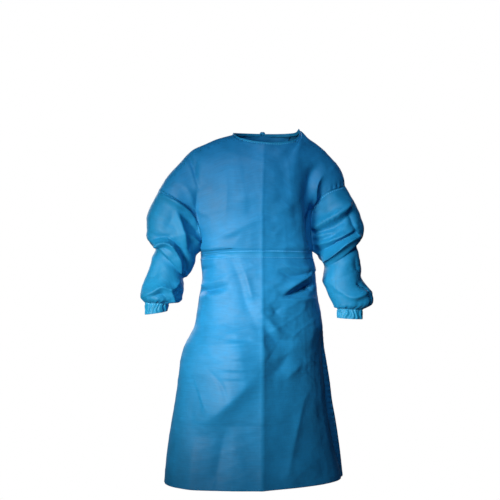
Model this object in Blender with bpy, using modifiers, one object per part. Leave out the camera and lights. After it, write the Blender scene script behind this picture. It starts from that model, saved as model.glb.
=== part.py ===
"""Surgical gown as it is worn, hollow, with the pieces that a maker cuts and joins.

Metres, +Z up. The front faces -Y and +X is the wearer's left. The origin lies at the
base of the neck, midway between the shoulders, where the wearer's shoulders hold it up.
Each panel is a surface worked out from the tables below and thickened to a wall.
"""

import math
from collections import namedtuple

import bmesh
import bpy
import numpy as np

# Cloth and seams
WALL = 0.0015
BINDING_WALL = 0.0026
SEAM_HALF_GAP = 0.00037
CUFF_GAP = 0.001
WELD = 0.00001
FRONT, BACK = -1, 1
RIGHT, LEFT = -1, 1

# Heights
HEM = -1.128
UNDERARM = -0.366
SIDE_DROP = 0.010
SQUARENESS = 2.25
ARMHOLE_SQUARENESS = 2.4

# Sections of the body from hem to underarm
BodySection = namedtuple("BodySection", "height half_width front back shift")
BODY_SECTIONS = (
    BodySection(-1.128, 0.2985, 0.160, 0.152, 0.0045),
    BodySection(-1.045, 0.2900, 0.158, 0.150, 0.0040),
    BodySection(-0.935, 0.2740, 0.154, 0.147, 0.0035),
    BodySection(-0.875, 0.2633, 0.151, 0.145, 0.0032),
    BodySection(-0.815, 0.2549, 0.148, 0.143, 0.0040),
    BodySection(-0.736, 0.2431, 0.144, 0.140, 0.0028),
    BodySection(-0.696, 0.2348, 0.141, 0.138, 0.0041),
    BodySection(-0.657, 0.2232, 0.139, 0.135, 0.0122),
    BodySection(-0.618, 0.2133, 0.137, 0.131, 0.0187),
    BodySection(-0.578, 0.2066, 0.135, 0.127, 0.0186),
    BodySection(-0.538, 0.1985, 0.132, 0.122, 0.0170),
    BodySection(-0.459, 0.1890, 0.127, 0.113, 0.0190),
    BodySection(-0.412, 0.1880, 0.122, 0.107, 0.0140),
    BodySection(-0.386, 0.1855, 0.119, 0.104, 0.0126),
    BodySection(-0.360, 0.1905, 0.125, 0.110, 0.0124),
)

# Shoulder line from the neck point out to the armhole, and the armhole's edges from
# the underarm up to the shoulder, both as seen from the front
Outline = namedtuple("Outline", "out height")
SHOULDER = {
    RIGHT: (
        Outline(-0.0689, 0.0058),
        Outline(-0.1287, -0.0125),
        Outline(-0.1617, -0.0278),
        Outline(-0.2012, -0.0465),
        Outline(-0.2470, -0.0929),
        Outline(-0.2829, -0.1324),
        Outline(-0.3121, -0.1783),
    ),
    LEFT: (
        Outline(0.1567, 0.0139),
        Outline(0.1892, -0.0064),
        Outline(0.2355, -0.0409),
        Outline(0.2664, -0.0718),
        Outline(0.2892, -0.0966),
        Outline(0.3015, -0.1200),
        Outline(0.3079, -0.1584),
    ),
}
ARMHOLE = {
    (FRONT, RIGHT): (
        Outline(-0.1780, -0.3760),
        Outline(-0.1873, -0.3024),
        Outline(-0.1998, -0.2707),
        Outline(-0.2351, -0.2310),
        Outline(-0.3121, -0.1783),
    ),
    (FRONT, LEFT): (
        Outline(0.2030, -0.3760),
        Outline(0.1930, -0.2911),
        Outline(0.1975, -0.2359),
        Outline(0.2200, -0.1965),
        Outline(0.3079, -0.1584),
    ),
    (BACK, RIGHT): (
        Outline(-0.1780, -0.3760),
        Outline(-0.1920, -0.3150),
        Outline(-0.2180, -0.2620),
        Outline(-0.2620, -0.2150),
        Outline(-0.3121, -0.1783),
    ),
    (BACK, LEFT): (
        Outline(0.2030, -0.3760),
        Outline(0.2060, -0.3100),
        Outline(0.2230, -0.2500),
        Outline(0.2600, -0.2000),
        Outline(0.3079, -0.1584),
    ),
}
ARM_BULGE = {FRONT: 0.072, BACK: 0.068}
CHEST_BULGE = {FRONT: 0.010, BACK: 0.014}
ROLL = {FRONT: 2.4, BACK: 2.6}

# Neck opening
NECK_COLUMNS = 5
BODY_COLUMNS = 28
NECK_SHARE = NECK_COLUMNS / (BODY_COLUMNS / 2)
NECK_CENTRE = 0.0439
NECK_HALF_WIDTH = 0.1128
NECK_MIDDLE = 0.005
NECK_DEPTH = {FRONT: 0.095, BACK: 0.068}
NECK_HEIGHT = {FRONT: -0.033, BACK: 0.012}
NECK_PEAK_HEIGHT = 0.010
NECK_PART = 0.03
NECK_PEAK_SPREAD = 0.22
NECK_SWEEP = 0.9
NECK_TO_SHOULDER = 0.12
BINDING_STEPS = (0.0027, 0.0055, 0.0088)
BINDING_SLOPE = (0.45, 0.90)

# Centre back overlap, as a share of the half back, the lift of each layer, and where
# that lift begins to fade and over how much it does, on the panels and under the belt
OVERLAP_SHARE = 0.22
LAYER_LIFT = 0.0022
LAYER_FADE = (0.10, 0.30)
BELT_LAYER_FADE = (0.26, 0.20)

# Sleeves from the armhole to the cuff, each ring from its outer to its inner edge
SleeveRing = namedtuple("SleeveRing", "outer_x outer_z inner_x inner_z middle_y half_depth")
SLEEVE_RINGS = {
    RIGHT: (
        SleeveRing(-0.3121, -0.1783, -0.1780, -0.3760, 0.000, 0.072),
        SleeveRing(-0.3348, -0.2206, -0.1890, -0.3900, 0.000, 0.077),
        SleeveRing(-0.3510, -0.2694, -0.1950, -0.4187, -0.002, 0.078),
        SleeveRing(-0.3513, -0.3083, -0.2083, -0.4447, -0.005, 0.075),
        SleeveRing(-0.3485, -0.3407, -0.2225, -0.4605, -0.010, 0.069),
        SleeveRing(-0.3265, -0.3601, -0.2325, -0.4640, -0.012, 0.060),
        SleeveRing(-0.3363, -0.3988, -0.2330, -0.4832, -0.020, 0.060),
        SleeveRing(-0.3465, -0.4308, -0.2336, -0.5023, -0.027, 0.060),
        SleeveRing(-0.3631, -0.4723, -0.2377, -0.5213, -0.035, 0.060),
        SleeveRing(-0.3731, -0.5039, -0.2449, -0.5370, -0.042, 0.058),
        SleeveRing(-0.3717, -0.5262, -0.2613, -0.5431, -0.045, 0.050),
        SleeveRing(-0.3609, -0.5388, -0.2843, -0.5427, -0.050, 0.034),
    ),
    LEFT: (
        SleeveRing(0.3079, -0.1584, 0.2030, -0.3760, 0.000, 0.072),
        SleeveRing(0.3322, -0.1984, 0.2175, -0.3880, 0.000, 0.077),
        SleeveRing(0.3600, -0.2519, 0.2252, -0.4031, -0.002, 0.077),
        SleeveRing(0.3724, -0.3024, 0.2342, -0.4130, -0.005, 0.073),
        SleeveRing(0.3640, -0.3294, 0.2381, -0.4230, -0.010, 0.067),
        SleeveRing(0.3461, -0.3496, 0.2393, -0.4329, -0.012, 0.060),
        SleeveRing(0.3507, -0.3797, 0.2338, -0.4527, -0.020, 0.060),
        SleeveRing(0.3556, -0.4264, 0.2286, -0.4757, -0.027, 0.060),
        SleeveRing(0.3567, -0.4662, 0.2368, -0.4987, -0.035, 0.059),
        SleeveRing(0.3753, -0.4960, 0.2452, -0.5249, -0.042, 0.058),
        SleeveRing(0.3907, -0.5191, 0.2573, -0.5511, -0.048, 0.056),
        SleeveRing(0.3830, -0.5560, 0.2640, -0.5640, -0.050, 0.048),
        SleeveRing(0.3570, -0.5680, 0.2730, -0.5640, -0.050, 0.036),
    ),
}
SLEEVE_BLEND = 0.16
UNDERARM_GAP = 0.0014
UNDERARM_SPREAD = 1.4
GAP_RUN = 0.10

# Cuffs: the lower edge of each, as a ring of the same kind
CUFF_END = {
    RIGHT: SleeveRing(-0.3613, -0.5783, -0.2912, -0.5679, -0.055, 0.031),
    LEFT: SleeveRing(0.3543, -0.6012, 0.2724, -0.5969, -0.055, 0.033),
}
CUFF_STEPS = 3
GATHERS = 12
GATHER_DEPTH = 0.0016
GATHER_START = 0.86
GATHER_RUN = 0.12

# Belt and ties
BELT_HEIGHT = 0.024
BELT_CENTRE = -0.386
BELT_LIFT = 0.0024
BELT_END_WIDTH = 0.024
BELT_END_LENGTHS = {RIGHT: 0.27, LEFT: 0.31}
NECK_END_WIDTH = 0.010
NECK_END_LENGTHS = {RIGHT: 0.115, LEFT: 0.140}
END_GATHERED = 0.45
END_SPREAD_OUT = 0.25
END_SETTLED = 0.20

# Knots: offset from the cloth behind, half sizes, drop to the ends' tops, and how far
# the ends stand aside, as shares of the half back, and off the cloth on their way down
Knot = namedtuple("Knot", "offset size drop spread lifts")
BELT_KNOT = Knot(
    (0.0, 0.0157, 0.0), (0.020, 0.0095, 0.014), 0.0148, (0.030, 0.100), (0.0120, 0.0105, 0.0090)
)
NECK_KNOT = Knot(
    (0.0, 0.0054, 0.0074), (0.010, 0.0060, 0.007), 0.0021, (0.008, 0.055), (0.0050, 0.0060, 0.0060)
)

# Steps of the surfaces, and the small steps that find a normal or a width
PROBE = 0.004
WIDTH_PROBE = 0.02
BODY_ROWS_LOW = (
    -1.128, -1.085, -1.030, -0.970, -0.910, -0.850, -0.795, -0.745, -0.700, -0.660,
    -0.620, -0.580, -0.540, -0.500, -0.462, -0.428, -0.398, -0.386, -0.374, -0.366,
)
ARMHOLE_ROWS = 12
SLEEVE_STEPS = 19
END_STEPS = 14

# Share of a fold's height at its ends, and how near an edge it fades
FOLD_END_SHARE = 0.35
FOLD_RIM = 0.10
SLEEVE_FOLD_RIM = 0.06
FACING_GAIN = 1.6

# Largest folds, on the front or back as seen along Y: ends, bow of the middle to one
# side, height of the ridge (negative for a trough), half width and lean
Fold = namedtuple("Fold", "side x0 z0 x1 z1 bow rise width lean")
BODY_FOLDS = (
    Fold(FRONT, -0.222, -0.085, -0.184, -0.300, -0.014, -0.013, 0.017, 0.3),
    Fold(FRONT, -0.205, -0.075, -0.168, -0.215, -0.006, 0.006, 0.016, 0.0),
    Fold(FRONT, 0.208, -0.100, 0.194, -0.300, 0.010, -0.012, 0.016, -0.3),
    Fold(FRONT, 0.186, -0.115, 0.180, -0.240, 0.006, 0.007, 0.014, 0.0),
    Fold(FRONT, 0.006, -0.030, -0.002, -1.128, 0.000, 0.004, 0.012, 0.0),
    Fold(FRONT, -0.180, -0.400, -0.090, -0.386, 0.004, -0.006, 0.012, 0.0),
    Fold(FRONT, 0.205, -0.440, 0.072, -0.446, 0.012, -0.010, 0.014, 0.4),
    Fold(FRONT, 0.205, -0.470, 0.085, -0.522, 0.010, -0.011, 0.015, 0.4),
    Fold(FRONT, 0.200, -0.458, 0.095, -0.480, 0.008, 0.006, 0.015, 0.0),
    Fold(FRONT, -0.175, -0.500, -0.110, -0.488, 0.010, -0.006, 0.014, 0.0),
    Fold(FRONT, -0.090, -0.410, -0.015, -0.600, 0.006, -0.006, 0.018, 0.2),
    Fold(FRONT, -0.172, -0.680, -0.105, -0.900, 0.015, -0.005, 0.016, 0.3),
    Fold(FRONT, -0.210, -0.660, -0.238, -0.940, 0.004, -0.008, 0.020, -0.3),
    Fold(FRONT, 0.190, -0.680, 0.226, -1.128, 0.006, -0.009, 0.026, 0.3),
    Fold(FRONT, 0.080, -0.640, 0.120, -0.860, 0.010, 0.006, 0.024, 0.0),
    Fold(BACK, -0.080, -0.410, -0.140, -1.128, 0.010, 0.016, 0.034, 0.2),
    Fold(BACK, -0.030, -0.420, -0.050, -1.128, 0.006, -0.012, 0.026, 0.0),
    Fold(BACK, 0.100, -0.410, 0.160, -1.128, 0.010, 0.015, 0.036, -0.2),
    Fold(BACK, 0.050, -0.430, 0.085, -1.128, 0.006, -0.011, 0.028, 0.0),
    Fold(BACK, -0.130, -0.430, -0.215, -1.128, 0.010, -0.011, 0.028, 0.0),
    Fold(BACK, 0.150, -0.430, 0.232, -1.128, 0.010, -0.011, 0.028, 0.0),
    Fold(BACK, -0.205, -0.090, -0.170, -0.330, 0.010, -0.012, 0.020, 0.2),
    Fold(BACK, 0.215, -0.090, 0.185, -0.330, 0.010, -0.012, 0.020, -0.2),
    Fold(BACK, -0.120, -0.330, -0.060, -0.372, 0.006, 0.008, 0.020, 0.0),
    Fold(BACK, 0.130, -0.330, 0.070, -0.372, 0.006, 0.008, 0.020, 0.0),
)
SLEEVE_FOLDS = {
    RIGHT: (
        Fold(FRONT, -0.325, -0.195, -0.190, -0.275, 0.006, -0.010, 0.014, 0.4),
        Fold(FRONT, -0.262, -0.240, -0.222, -0.410, 0.010, 0.012, 0.014, 0.3),
        Fold(FRONT, -0.285, -0.300, -0.232, -0.390, 0.004, 0.009, 0.012, 0.0),
        Fold(FRONT, -0.236, -0.260, -0.198, -0.380, 0.006, -0.012, 0.014, 0.0),
        Fold(FRONT, -0.350, -0.345, -0.270, -0.335, 0.006, -0.009, 0.011, 0.0),
        Fold(FRONT, -0.335, -0.365, -0.290, -0.352, 0.004, 0.006, 0.010, 0.0),
        Fold(FRONT, -0.255, -0.300, -0.232, -0.455, 0.010, -0.008, 0.013, 0.0),
        Fold(FRONT, -0.350, -0.515, -0.250, -0.480, -0.010, -0.009, 0.012, 0.3),
        Fold(BACK, -0.330, -0.230, -0.210, -0.330, 0.010, -0.010, 0.018, 0.0),
        Fold(BACK, -0.345, -0.320, -0.225, -0.430, 0.008, -0.010, 0.016, 0.0),
        Fold(BACK, -0.340, -0.350, -0.240, -0.400, 0.004, 0.008, 0.014, 0.0),
        Fold(BACK, -0.350, -0.505, -0.260, -0.490, 0.008, -0.007, 0.014, 0.0),
    ),
    LEFT: (
        Fold(FRONT, 0.325, -0.190, 0.215, -0.212, 0.006, -0.009, 0.013, 0.4),
        Fold(FRONT, 0.312, -0.255, 0.215, -0.300, 0.006, -0.010, 0.013, 0.3),
        Fold(FRONT, 0.290, -0.290, 0.212, -0.318, 0.004, 0.010, 0.012, 0.0),
        Fold(FRONT, 0.340, -0.300, 0.232, -0.350, 0.008, -0.009, 0.012, 0.0),
        Fold(FRONT, 0.335, -0.325, 0.245, -0.420, 0.010, 0.010, 0.013, 0.0),
        Fold(FRONT, 0.350, -0.335, 0.265, -0.430, 0.010, -0.010, 0.012, 0.3),
        Fold(FRONT, 0.365, -0.525, 0.270, -0.505, 0.006, -0.008, 0.012, 0.0),
        Fold(BACK, 0.335, -0.230, 0.215, -0.330, 0.010, -0.010, 0.018, 0.0),
        Fold(BACK, 0.350, -0.310, 0.235, -0.395, 0.008, -0.010, 0.016, 0.0),
        Fold(BACK, 0.350, -0.335, 0.245, -0.410, 0.004, 0.008, 0.014, 0.0),
        Fold(BACK, 0.365, -0.520, 0.275, -0.510, 0.008, -0.007, 0.014, 0.0),
    ),
}

# Colours: the cloth's blue, and the paler blue where it is doubled
CLOTH_COLOUR = (0.036, 0.250, 0.533)
SLEEVE_COLOUR = (0.044, 0.290, 0.560)
TRIM_COLOUR = (0.060, 0.340, 0.620)
CLOTH_ROUGHNESS = 0.55


def through(knots, values, at):
    """A smooth curve through the rows of a table, read at any place along it."""
    knots = np.asarray(knots, float)
    values = np.asarray(values, float)
    at = np.clip(at, knots[0], knots[-1])
    slopes = np.gradient(values, knots)
    cell = np.clip(np.searchsorted(knots, at, side="right") - 1, 0, len(knots) - 2)
    width = knots[cell + 1] - knots[cell]
    t = (at - knots[cell]) / width
    rise = 3 * t**2 - 2 * t**3
    lead = (t - 2 * t**2 + t**3) * width
    trail = (t**3 - t**2) * width
    start, end = values[cell], values[cell + 1]
    return start + (end - start) * rise + slopes[cell] * lead + slopes[cell + 1] * trail


def column(rows, name):
    return [getattr(row, name) for row in rows]


def eased(value):
    value = np.clip(value, 0.0, 1.0)
    return value * value * (3 - 2 * value)


def along_outline(rows, share):
    """The point at a share of an outline's length, as x and z."""
    x, z = np.array(column(rows, "out")), np.array(column(rows, "height"))
    run = np.concatenate([[0.0], np.cumsum(np.hypot(np.diff(x), np.diff(z)))])
    return through(run / run[-1], x, share), through(run / run[-1], z, share)


def body_section(side, across, height):
    """A point of the body below the underarm, from the section at that height."""
    knots = column(BODY_SECTIONS, "height")
    half = through(knots, column(BODY_SECTIONS, "half_width"), height)
    depth = through(knots, column(BODY_SECTIONS, "front" if side == FRONT else "back"), height)
    shift = through(knots, column(BODY_SECTIONS, "shift"), height)
    turn = across * math.pi / 2
    out = np.sign(turn) * np.abs(np.sin(turn)) ** (2 / SQUARENESS)
    reach = np.abs(np.cos(turn)) ** (2 / SQUARENESS)
    return shift + half * out, side * depth * reach, height


def neck_point(side, across):
    """A point of the neck opening: -1 is the wearer's right, 1 the left."""
    turn = across * math.pi / 2
    share = np.abs(np.cos(turn))
    out = np.sin(turn)
    x = NECK_CENTRE + NECK_HALF_WIDTH * out
    y = NECK_MIDDLE + side * NECK_DEPTH[side] * share
    side_height = np.interp(out, (-1, 1), (SHOULDER[RIGHT][0].height, SHOULDER[LEFT][0].height))
    z = side_height + (NECK_HEIGHT[side] - side_height) * share**NECK_SWEEP
    peak = NECK_PEAK_HEIGHT * np.exp(-(((turn - math.pi / 2) / NECK_PEAK_SPREAD) ** 2))
    return x, y, z + peak


def top_edge(side, across):
    """Top of a panel: the shoulder line on both sides of the neck opening."""
    x, y, z = neck_point(side, np.clip(across / NECK_SHARE, -1, 1))
    for arm in (RIGHT, LEFT):
        share = (across * arm - NECK_SHARE) / (1 - NECK_SHARE)
        on_shoulder = share > 0
        out, height = along_outline(SHOULDER[arm], np.clip(share, 0, 1))
        lift = z - SHOULDER[arm][0].height
        fade = 1 - eased(share / NECK_TO_SHOULDER)
        x = np.where(on_shoulder, out, x)
        y = np.where(on_shoulder, NECK_MIDDLE * (1 - np.clip(share, 0, 1)), y)
        z = np.where(on_shoulder, height + lift * fade, z)
    return x, y, z


def armhole_bulge(side, share):
    """How far the armhole's edge stands forward or back, at a share of its height."""
    reach = 1 - np.abs(2 * share - 1) ** ARMHOLE_SQUARENESS
    return side * ARM_BULGE[side] * reach ** (1 / ARMHOLE_SQUARENESS)


def above_underarm(side, across, share):
    """A point of the body above the underarm, between the armholes and the shoulders."""
    low = body_section(side, across, UNDERARM - SIDE_DROP * across**2)
    top = top_edge(side, across)
    x = low[0] * (1 - share) + top[0] * share
    z = low[2] * (1 - share) + top[2] * share
    for arm in (RIGHT, LEFT):
        rows = ARMHOLE[side, arm]
        edge_x, edge_z = along_outline(rows, share)
        nearness = (1 + arm * across) / 2
        x = x + nearness * (edge_x - rows[0].out - (rows[-1].out - rows[0].out) * share)
        rise = rows[-1].height - rows[0].height
        z = z + nearness * (edge_z - rows[0].height - rise * share)
    over = 1 - (1 - share ** ROLL[side]) ** (1 / ROLL[side])
    over = over + (share**2 - over) * (1 - eased(np.abs(across) / NECK_SHARE))
    y = low[1] * (1 - over) + top[1] * over
    y = y + armhole_bulge(side, share) * np.abs(across) ** 3
    y = y + side * CHEST_BULGE[side] * np.sin(math.pi * share) * (1 - across**2)
    return x, y, z


def body_base(side, across, up):
    """The body without folds: up runs from -1 at the hem over 0 at the underarm to 1."""
    height = HEM + (UNDERARM - HEM) * (np.minimum(up, 0) + 1)
    fade = (height - HEM) / (UNDERARM - HEM)
    low = body_section(side, across, height - SIDE_DROP * across**2 * fade)
    share = (1 - np.cos(math.pi * np.clip(up, 0, 1))) / 2
    high = above_underarm(side, across, share)
    return np.stack([np.where(up <= 0, a, b) for a, b in zip(low, high)], axis=-1)


def outward(surface, across, up):
    """Unit normals of a surface of two parameters, by small steps within its range."""
    low_a, high_a = np.clip(across - PROBE, -1, 1), np.clip(across + PROBE, -1, 1)
    low_u, high_u = np.clip(up - PROBE, -1, 1), np.clip(up + PROBE, -1, 1)
    over = surface(high_a, up) - surface(low_a, up)
    rise = surface(across, high_u) - surface(across, low_u)
    normal = np.cross(over, rise)
    return normal / np.maximum(np.linalg.norm(normal, axis=-1, keepdims=True), 1e-12)


def fold_rise(folds, side, points):
    """Height of all folds of one side at these points, as seen along Y."""
    x, z = points[..., 0], points[..., 2]
    total = np.zeros(x.shape)
    for fold in folds:
        if fold.side != side:
            continue
        run = np.array([fold.x1 - fold.x0, fold.z1 - fold.z0])
        length = float(np.hypot(*run))
        run = run / length
        along = ((x - fold.x0) * run[0] + (z - fold.z0) * run[1]) / length
        held = np.clip(along, 0, 1)
        bow = fold.bow * 4 * held * (1 - held)
        across = (x - fold.x0) * -run[1] + (z - fold.z0) * run[0] - bow
        beyond = (along - held) * length
        width = fold.width * (1 + fold.lean * np.tanh(across / fold.width))
        taper = FOLD_END_SHARE + (1 - FOLD_END_SHARE) * np.sin(math.pi * held)
        shape = np.exp(-((across / width) ** 2) - (beyond / fold.width) ** 2)
        total += fold.rise * taper * shape
    return total


def body_point(side, across, up, lift=0.0):
    """The body with its folds, moved out by lift."""
    across, up = np.broadcast_arrays(np.asarray(across, float), np.asarray(up, float))
    base = body_base(side, across, up)
    normal = outward(lambda a, u: body_base(side, a, u), across, up) * -side
    rim = eased((1 - np.abs(across)) / FOLD_RIM) * eased((1 - up) / FOLD_RIM)
    rise = fold_rise(BODY_FOLDS, side, base) * rim
    points = base + normal * (rise + lift)[..., None]
    points[..., 1] += side * SEAM_HALF_GAP
    return points


def up_of(height):
    """The body's parameter for a height below the underarm."""
    return (height - HEM) / (UNDERARM - HEM) - 1


def back_up_of(height):
    """The body's parameter for a height at centre back, above the underarm."""
    share = (height - UNDERARM) / (NECK_HEIGHT[BACK] - UNDERARM)
    return math.acos(1 - 2 * share) / math.pi


def body_ups():
    low = [up_of(height) for height in BODY_ROWS_LOW]
    high = [(row + 1) / ARMHOLE_ROWS for row in range(ARMHOLE_ROWS)]
    return np.array(low + high)


def layer_lift(arm, across):
    """At centre back one layer lies on the other: the left one is the outer."""
    start, run = LAYER_FADE
    return arm * LAYER_LIFT * (1 - eased((across * arm - start) / run))


def armhole_point(arm, turn):
    """The armhole's loop: turn 0 is its top, and the front half comes first."""
    share = (1 + np.cos(turn)) / 2
    across = np.full(np.shape(turn), float(arm))
    front = above_underarm(FRONT, across, share)
    back = above_underarm(BACK, across, share)
    first = np.sin(turn) > 0
    return np.stack([np.where(first, a, b) for a, b in zip(front, back)], axis=-1)


def ring_point(ring, turn):
    outer = np.array([ring.outer_x, 0.0, ring.outer_z])
    inner = np.array([ring.inner_x, 0.0, ring.inner_z])
    middle = (outer + inner) / 2 + np.array([0.0, ring.middle_y, 0.0])
    swing = np.cos(turn)[..., None] * (outer - inner) / 2
    depth = np.sin(turn)[..., None] * np.array([0.0, FRONT * ring.half_depth, 0.0])
    return middle + swing + depth


def sleeve_base(arm, along, turn):
    """The sleeve without folds: along runs from 0 at the armhole to 1 at the cuff."""
    rings = SLEEVE_RINGS[arm]
    table = np.array(rings)
    middles = np.stack([table[:, 0] + table[:, 2], table[:, 1] + table[:, 3]], axis=-1) / 2
    run = np.concatenate([[0.0], np.cumsum(np.linalg.norm(np.diff(middles, axis=0), axis=1))])
    at = SleeveRing(*(through(run / run[-1], values, along) for values in table.T))
    outer = np.stack([at.outer_x, at.middle_y, at.outer_z], axis=-1)
    inner = np.stack([at.inner_x, at.middle_y, at.inner_z], axis=-1)
    points = (outer + inner) / 2 + np.cos(turn)[..., None] * (outer - inner) / 2
    points[..., 1] += FRONT * at.half_depth * np.sin(turn)
    blend = 1 - eased(along / SLEEVE_BLEND)
    return points + blend[..., None] * (armhole_point(arm, turn) - ring_point(rings[0], turn))


def sleeve_point(arm, along, turn):
    """The sleeve with its folds, its gathers at the cuff and its gap at the armhole."""
    along, turn = np.broadcast_arrays(np.asarray(along, float), np.asarray(turn, float))
    base = sleeve_base(arm, along, turn)
    over = sleeve_base(arm, along, turn + PROBE) - sleeve_base(arm, along, turn - PROBE)
    ahead = np.clip(along + PROBE, 0, 1)
    behind = np.clip(along - PROBE, 0, 1)
    onward = sleeve_base(arm, ahead, turn) - sleeve_base(arm, behind, turn)
    normal = np.cross(over, onward) * -arm
    normal = normal / np.maximum(np.linalg.norm(normal, axis=-1, keepdims=True), 1e-12)
    onward = onward / np.maximum(np.linalg.norm(onward, axis=-1, keepdims=True), 1e-12)
    rim = eased(along / SLEEVE_FOLD_RIM) * eased((1 - along) / SLEEVE_FOLD_RIM)
    facing = eased(np.abs(normal[..., 1]) * FACING_GAIN)
    front = np.sin(turn) > 0
    folds = SLEEVE_FOLDS[arm]
    rise = np.where(front, fold_rise(folds, FRONT, base), fold_rise(folds, BACK, base))
    gathered = eased((along - GATHER_START) / GATHER_RUN)
    gathers = GATHER_DEPTH * np.cos(GATHERS * turn) * gathered
    low = eased((1 - np.cos(turn)) / UNDERARM_SPREAD)
    gap = (SEAM_HALF_GAP * 2 + UNDERARM_GAP * low) * (1 - eased(along / GAP_RUN))
    points = base + normal * (rise * rim * facing + gathers)[..., None]
    return points + onward * gap[..., None]


def cuff_point(arm, along, turn):
    """The cuff: gathered by its elastic, from the sleeve's end to the wrist edge."""
    along, turn = np.broadcast_arrays(np.asarray(along, float), np.asarray(turn, float))
    top = ring_point(SLEEVE_RINGS[arm][-1], turn)
    end = ring_point(CUFF_END[arm], turn)
    length = np.linalg.norm(end - top, axis=-1, keepdims=True)
    first = CUFF_GAP / length
    points = top + (end - top) * (first + (1 - first) * along[..., None])
    middle = points.mean(axis=1, keepdims=True)
    spoke = points - middle
    spoke = spoke / np.linalg.norm(spoke, axis=-1, keepdims=True)
    return points + spoke * (GATHER_DEPTH * np.cos(GATHERS * turn))[..., None]


def cloth_material(name, colour):
    material = bpy.data.materials.new(name)
    material.use_nodes = True
    shader = material.node_tree.nodes["Principled BSDF"]
    shader.inputs["Base Color"].default_value = (*colour, 1.0)
    shader.inputs["Roughness"].default_value = CLOTH_ROUGHNESS
    shader.inputs["Metallic"].default_value = 0.0
    return material


def cloth_piece(name, points, colour, wall=WALL, joined=False):
    """A grid bent onto these points, columns by rows, and thickened to a wall."""
    columns, rows = points.shape[:2]
    shape = bmesh.new()
    bmesh.ops.create_grid(shape, x_segments=columns - 1, y_segments=rows - 1, size=1.0)
    for vert in shape.verts:
        i = round((vert.co.x + 1) / 2 * (columns - 1))
        j = round((vert.co.y + 1) / 2 * (rows - 1))
        vert.co = points[i, j]
    if joined:
        bmesh.ops.remove_doubles(shape, verts=shape.verts, dist=WELD)
    mesh = bpy.data.meshes.new(name)
    shape.to_mesh(mesh)
    shape.free()
    mesh.shade_smooth()
    piece = bpy.data.objects.new(name, mesh)
    piece.data.materials.append(cloth_material(name + "_cloth", colour))
    solidify = piece.modifiers.new("Wall", "SOLIDIFY")
    solidify.thickness = wall
    solidify.offset = 0.0
    return piece


def make_front_panel():
    across = np.linspace(-1, 1, BODY_COLUMNS + 1)[:, None]
    points = body_point(FRONT, across, body_ups()[None, :])
    return cloth_piece("front_panel", points, CLOTH_COLOUR)


def make_back_panel(arm):
    """A back half, from its armhole and side seam to past centre back."""
    steps = np.linspace(-1, 1, BODY_COLUMNS + 1)
    across = steps[steps * arm >= -OVERLAP_SHARE][:, None]
    lift = np.broadcast_to(layer_lift(arm, across), (len(across), len(body_ups())))
    points = body_point(BACK, across, body_ups()[None, :], lift)
    name = "back_left_panel" if arm == LEFT else "back_right_panel"
    return cloth_piece(name, points, CLOTH_COLOUR)


def make_sleeve(arm):
    along = np.linspace(0, 1, SLEEVE_STEPS + 1)[None, :]
    turn = np.linspace(math.pi, 3 * math.pi, 2 * ARMHOLE_ROWS + 1)[:, None]
    name = "left_sleeve" if arm == LEFT else "right_sleeve"
    return cloth_piece(name, sleeve_point(arm, along, turn), SLEEVE_COLOUR, joined=True)


def make_cuff(arm):
    along = np.linspace(0, 1, CUFF_STEPS + 1)[None, :]
    turn = np.linspace(math.pi, 3 * math.pi, 4 * GATHERS + 1)[:, None]
    name = "left_cuff" if arm == LEFT else "right_cuff"
    return cloth_piece(name, cuff_point(arm, along, turn), TRIM_COLOUR, joined=True)


def neck_loop():
    """Places round the neck opening, from centre back over the left side to the back."""
    steps = [step / NECK_COLUMNS for step in range(1, NECK_COLUMNS + 1)]
    left_back = [(BACK, value) for value in [NECK_PART, *steps]]
    front = [(FRONT, value) for value in [*steps[-2::-1], 0.0, *(-step for step in steps[:-1])]]
    right_back = [(BACK, -value) for _, value in left_back[::-1]]
    return left_back + front + right_back


def make_neck_binding():
    """A folded strip on the edge of the neck opening, parted at centre back."""
    edge = np.array([neck_point(side, np.float64(value)) for side, value in neck_loop()])
    centre = np.array([NECK_CENTRE, NECK_MIDDLE, 0.0])
    inward = centre - edge
    inward[:, 2] = 0
    inward = inward / np.linalg.norm(inward, axis=1, keepdims=True)
    slope = inward * BINDING_SLOPE[0] + np.array([0.0, 0.0, BINDING_SLOPE[1]])
    points = np.stack([edge + slope * step for step in BINDING_STEPS], axis=1)
    return cloth_piece("neck_binding", points, TRIM_COLOUR, wall=BINDING_WALL)


def make_belt():
    """A flat band round the waist, over the seams and the lapped back."""
    steps = np.linspace(-1, 1, BODY_COLUMNS + 1)
    rows = BELT_CENTRE + np.linspace(-0.5, 0.5, 3) * BELT_HEIGHT
    ups = up_of(rows)[None, :]
    front = body_point(FRONT, steps[:, None], ups, BELT_LIFT)
    start, run = BELT_LAYER_FADE
    beside = LAYER_LIFT * (1 - eased((-steps - start) / run))
    over = np.where(steps < 0, beside, layer_lift(LEFT, steps))
    back = body_point(BACK, steps[::-1, None], ups, BELT_LIFT + over[::-1, None])
    side_ends = (front[-1:] + back[:1]) / 2, (front[:1] + back[-1:]) / 2
    points = np.concatenate([side_ends[1], front[1:-1], side_ends[0], back[1:-1], side_ends[1]])
    return cloth_piece("waist_belt", points, TRIM_COLOUR, joined=True)


def make_knot(name, place, size):
    """A flattened knot of cloth."""
    shape = bmesh.new()
    bmesh.ops.create_uvsphere(shape, u_segments=12, v_segments=8, radius=1.0)
    bmesh.ops.scale(shape, vec=size, verts=shape.verts)
    bmesh.ops.translate(shape, vec=place, verts=shape.verts)
    mesh = bpy.data.meshes.new(name)
    shape.to_mesh(mesh)
    shape.free()
    mesh.shade_smooth()
    knot = bpy.data.objects.new(name, mesh)
    knot.data.materials.append(cloth_material(name + "_cloth", TRIM_COLOUR))
    return knot


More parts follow.
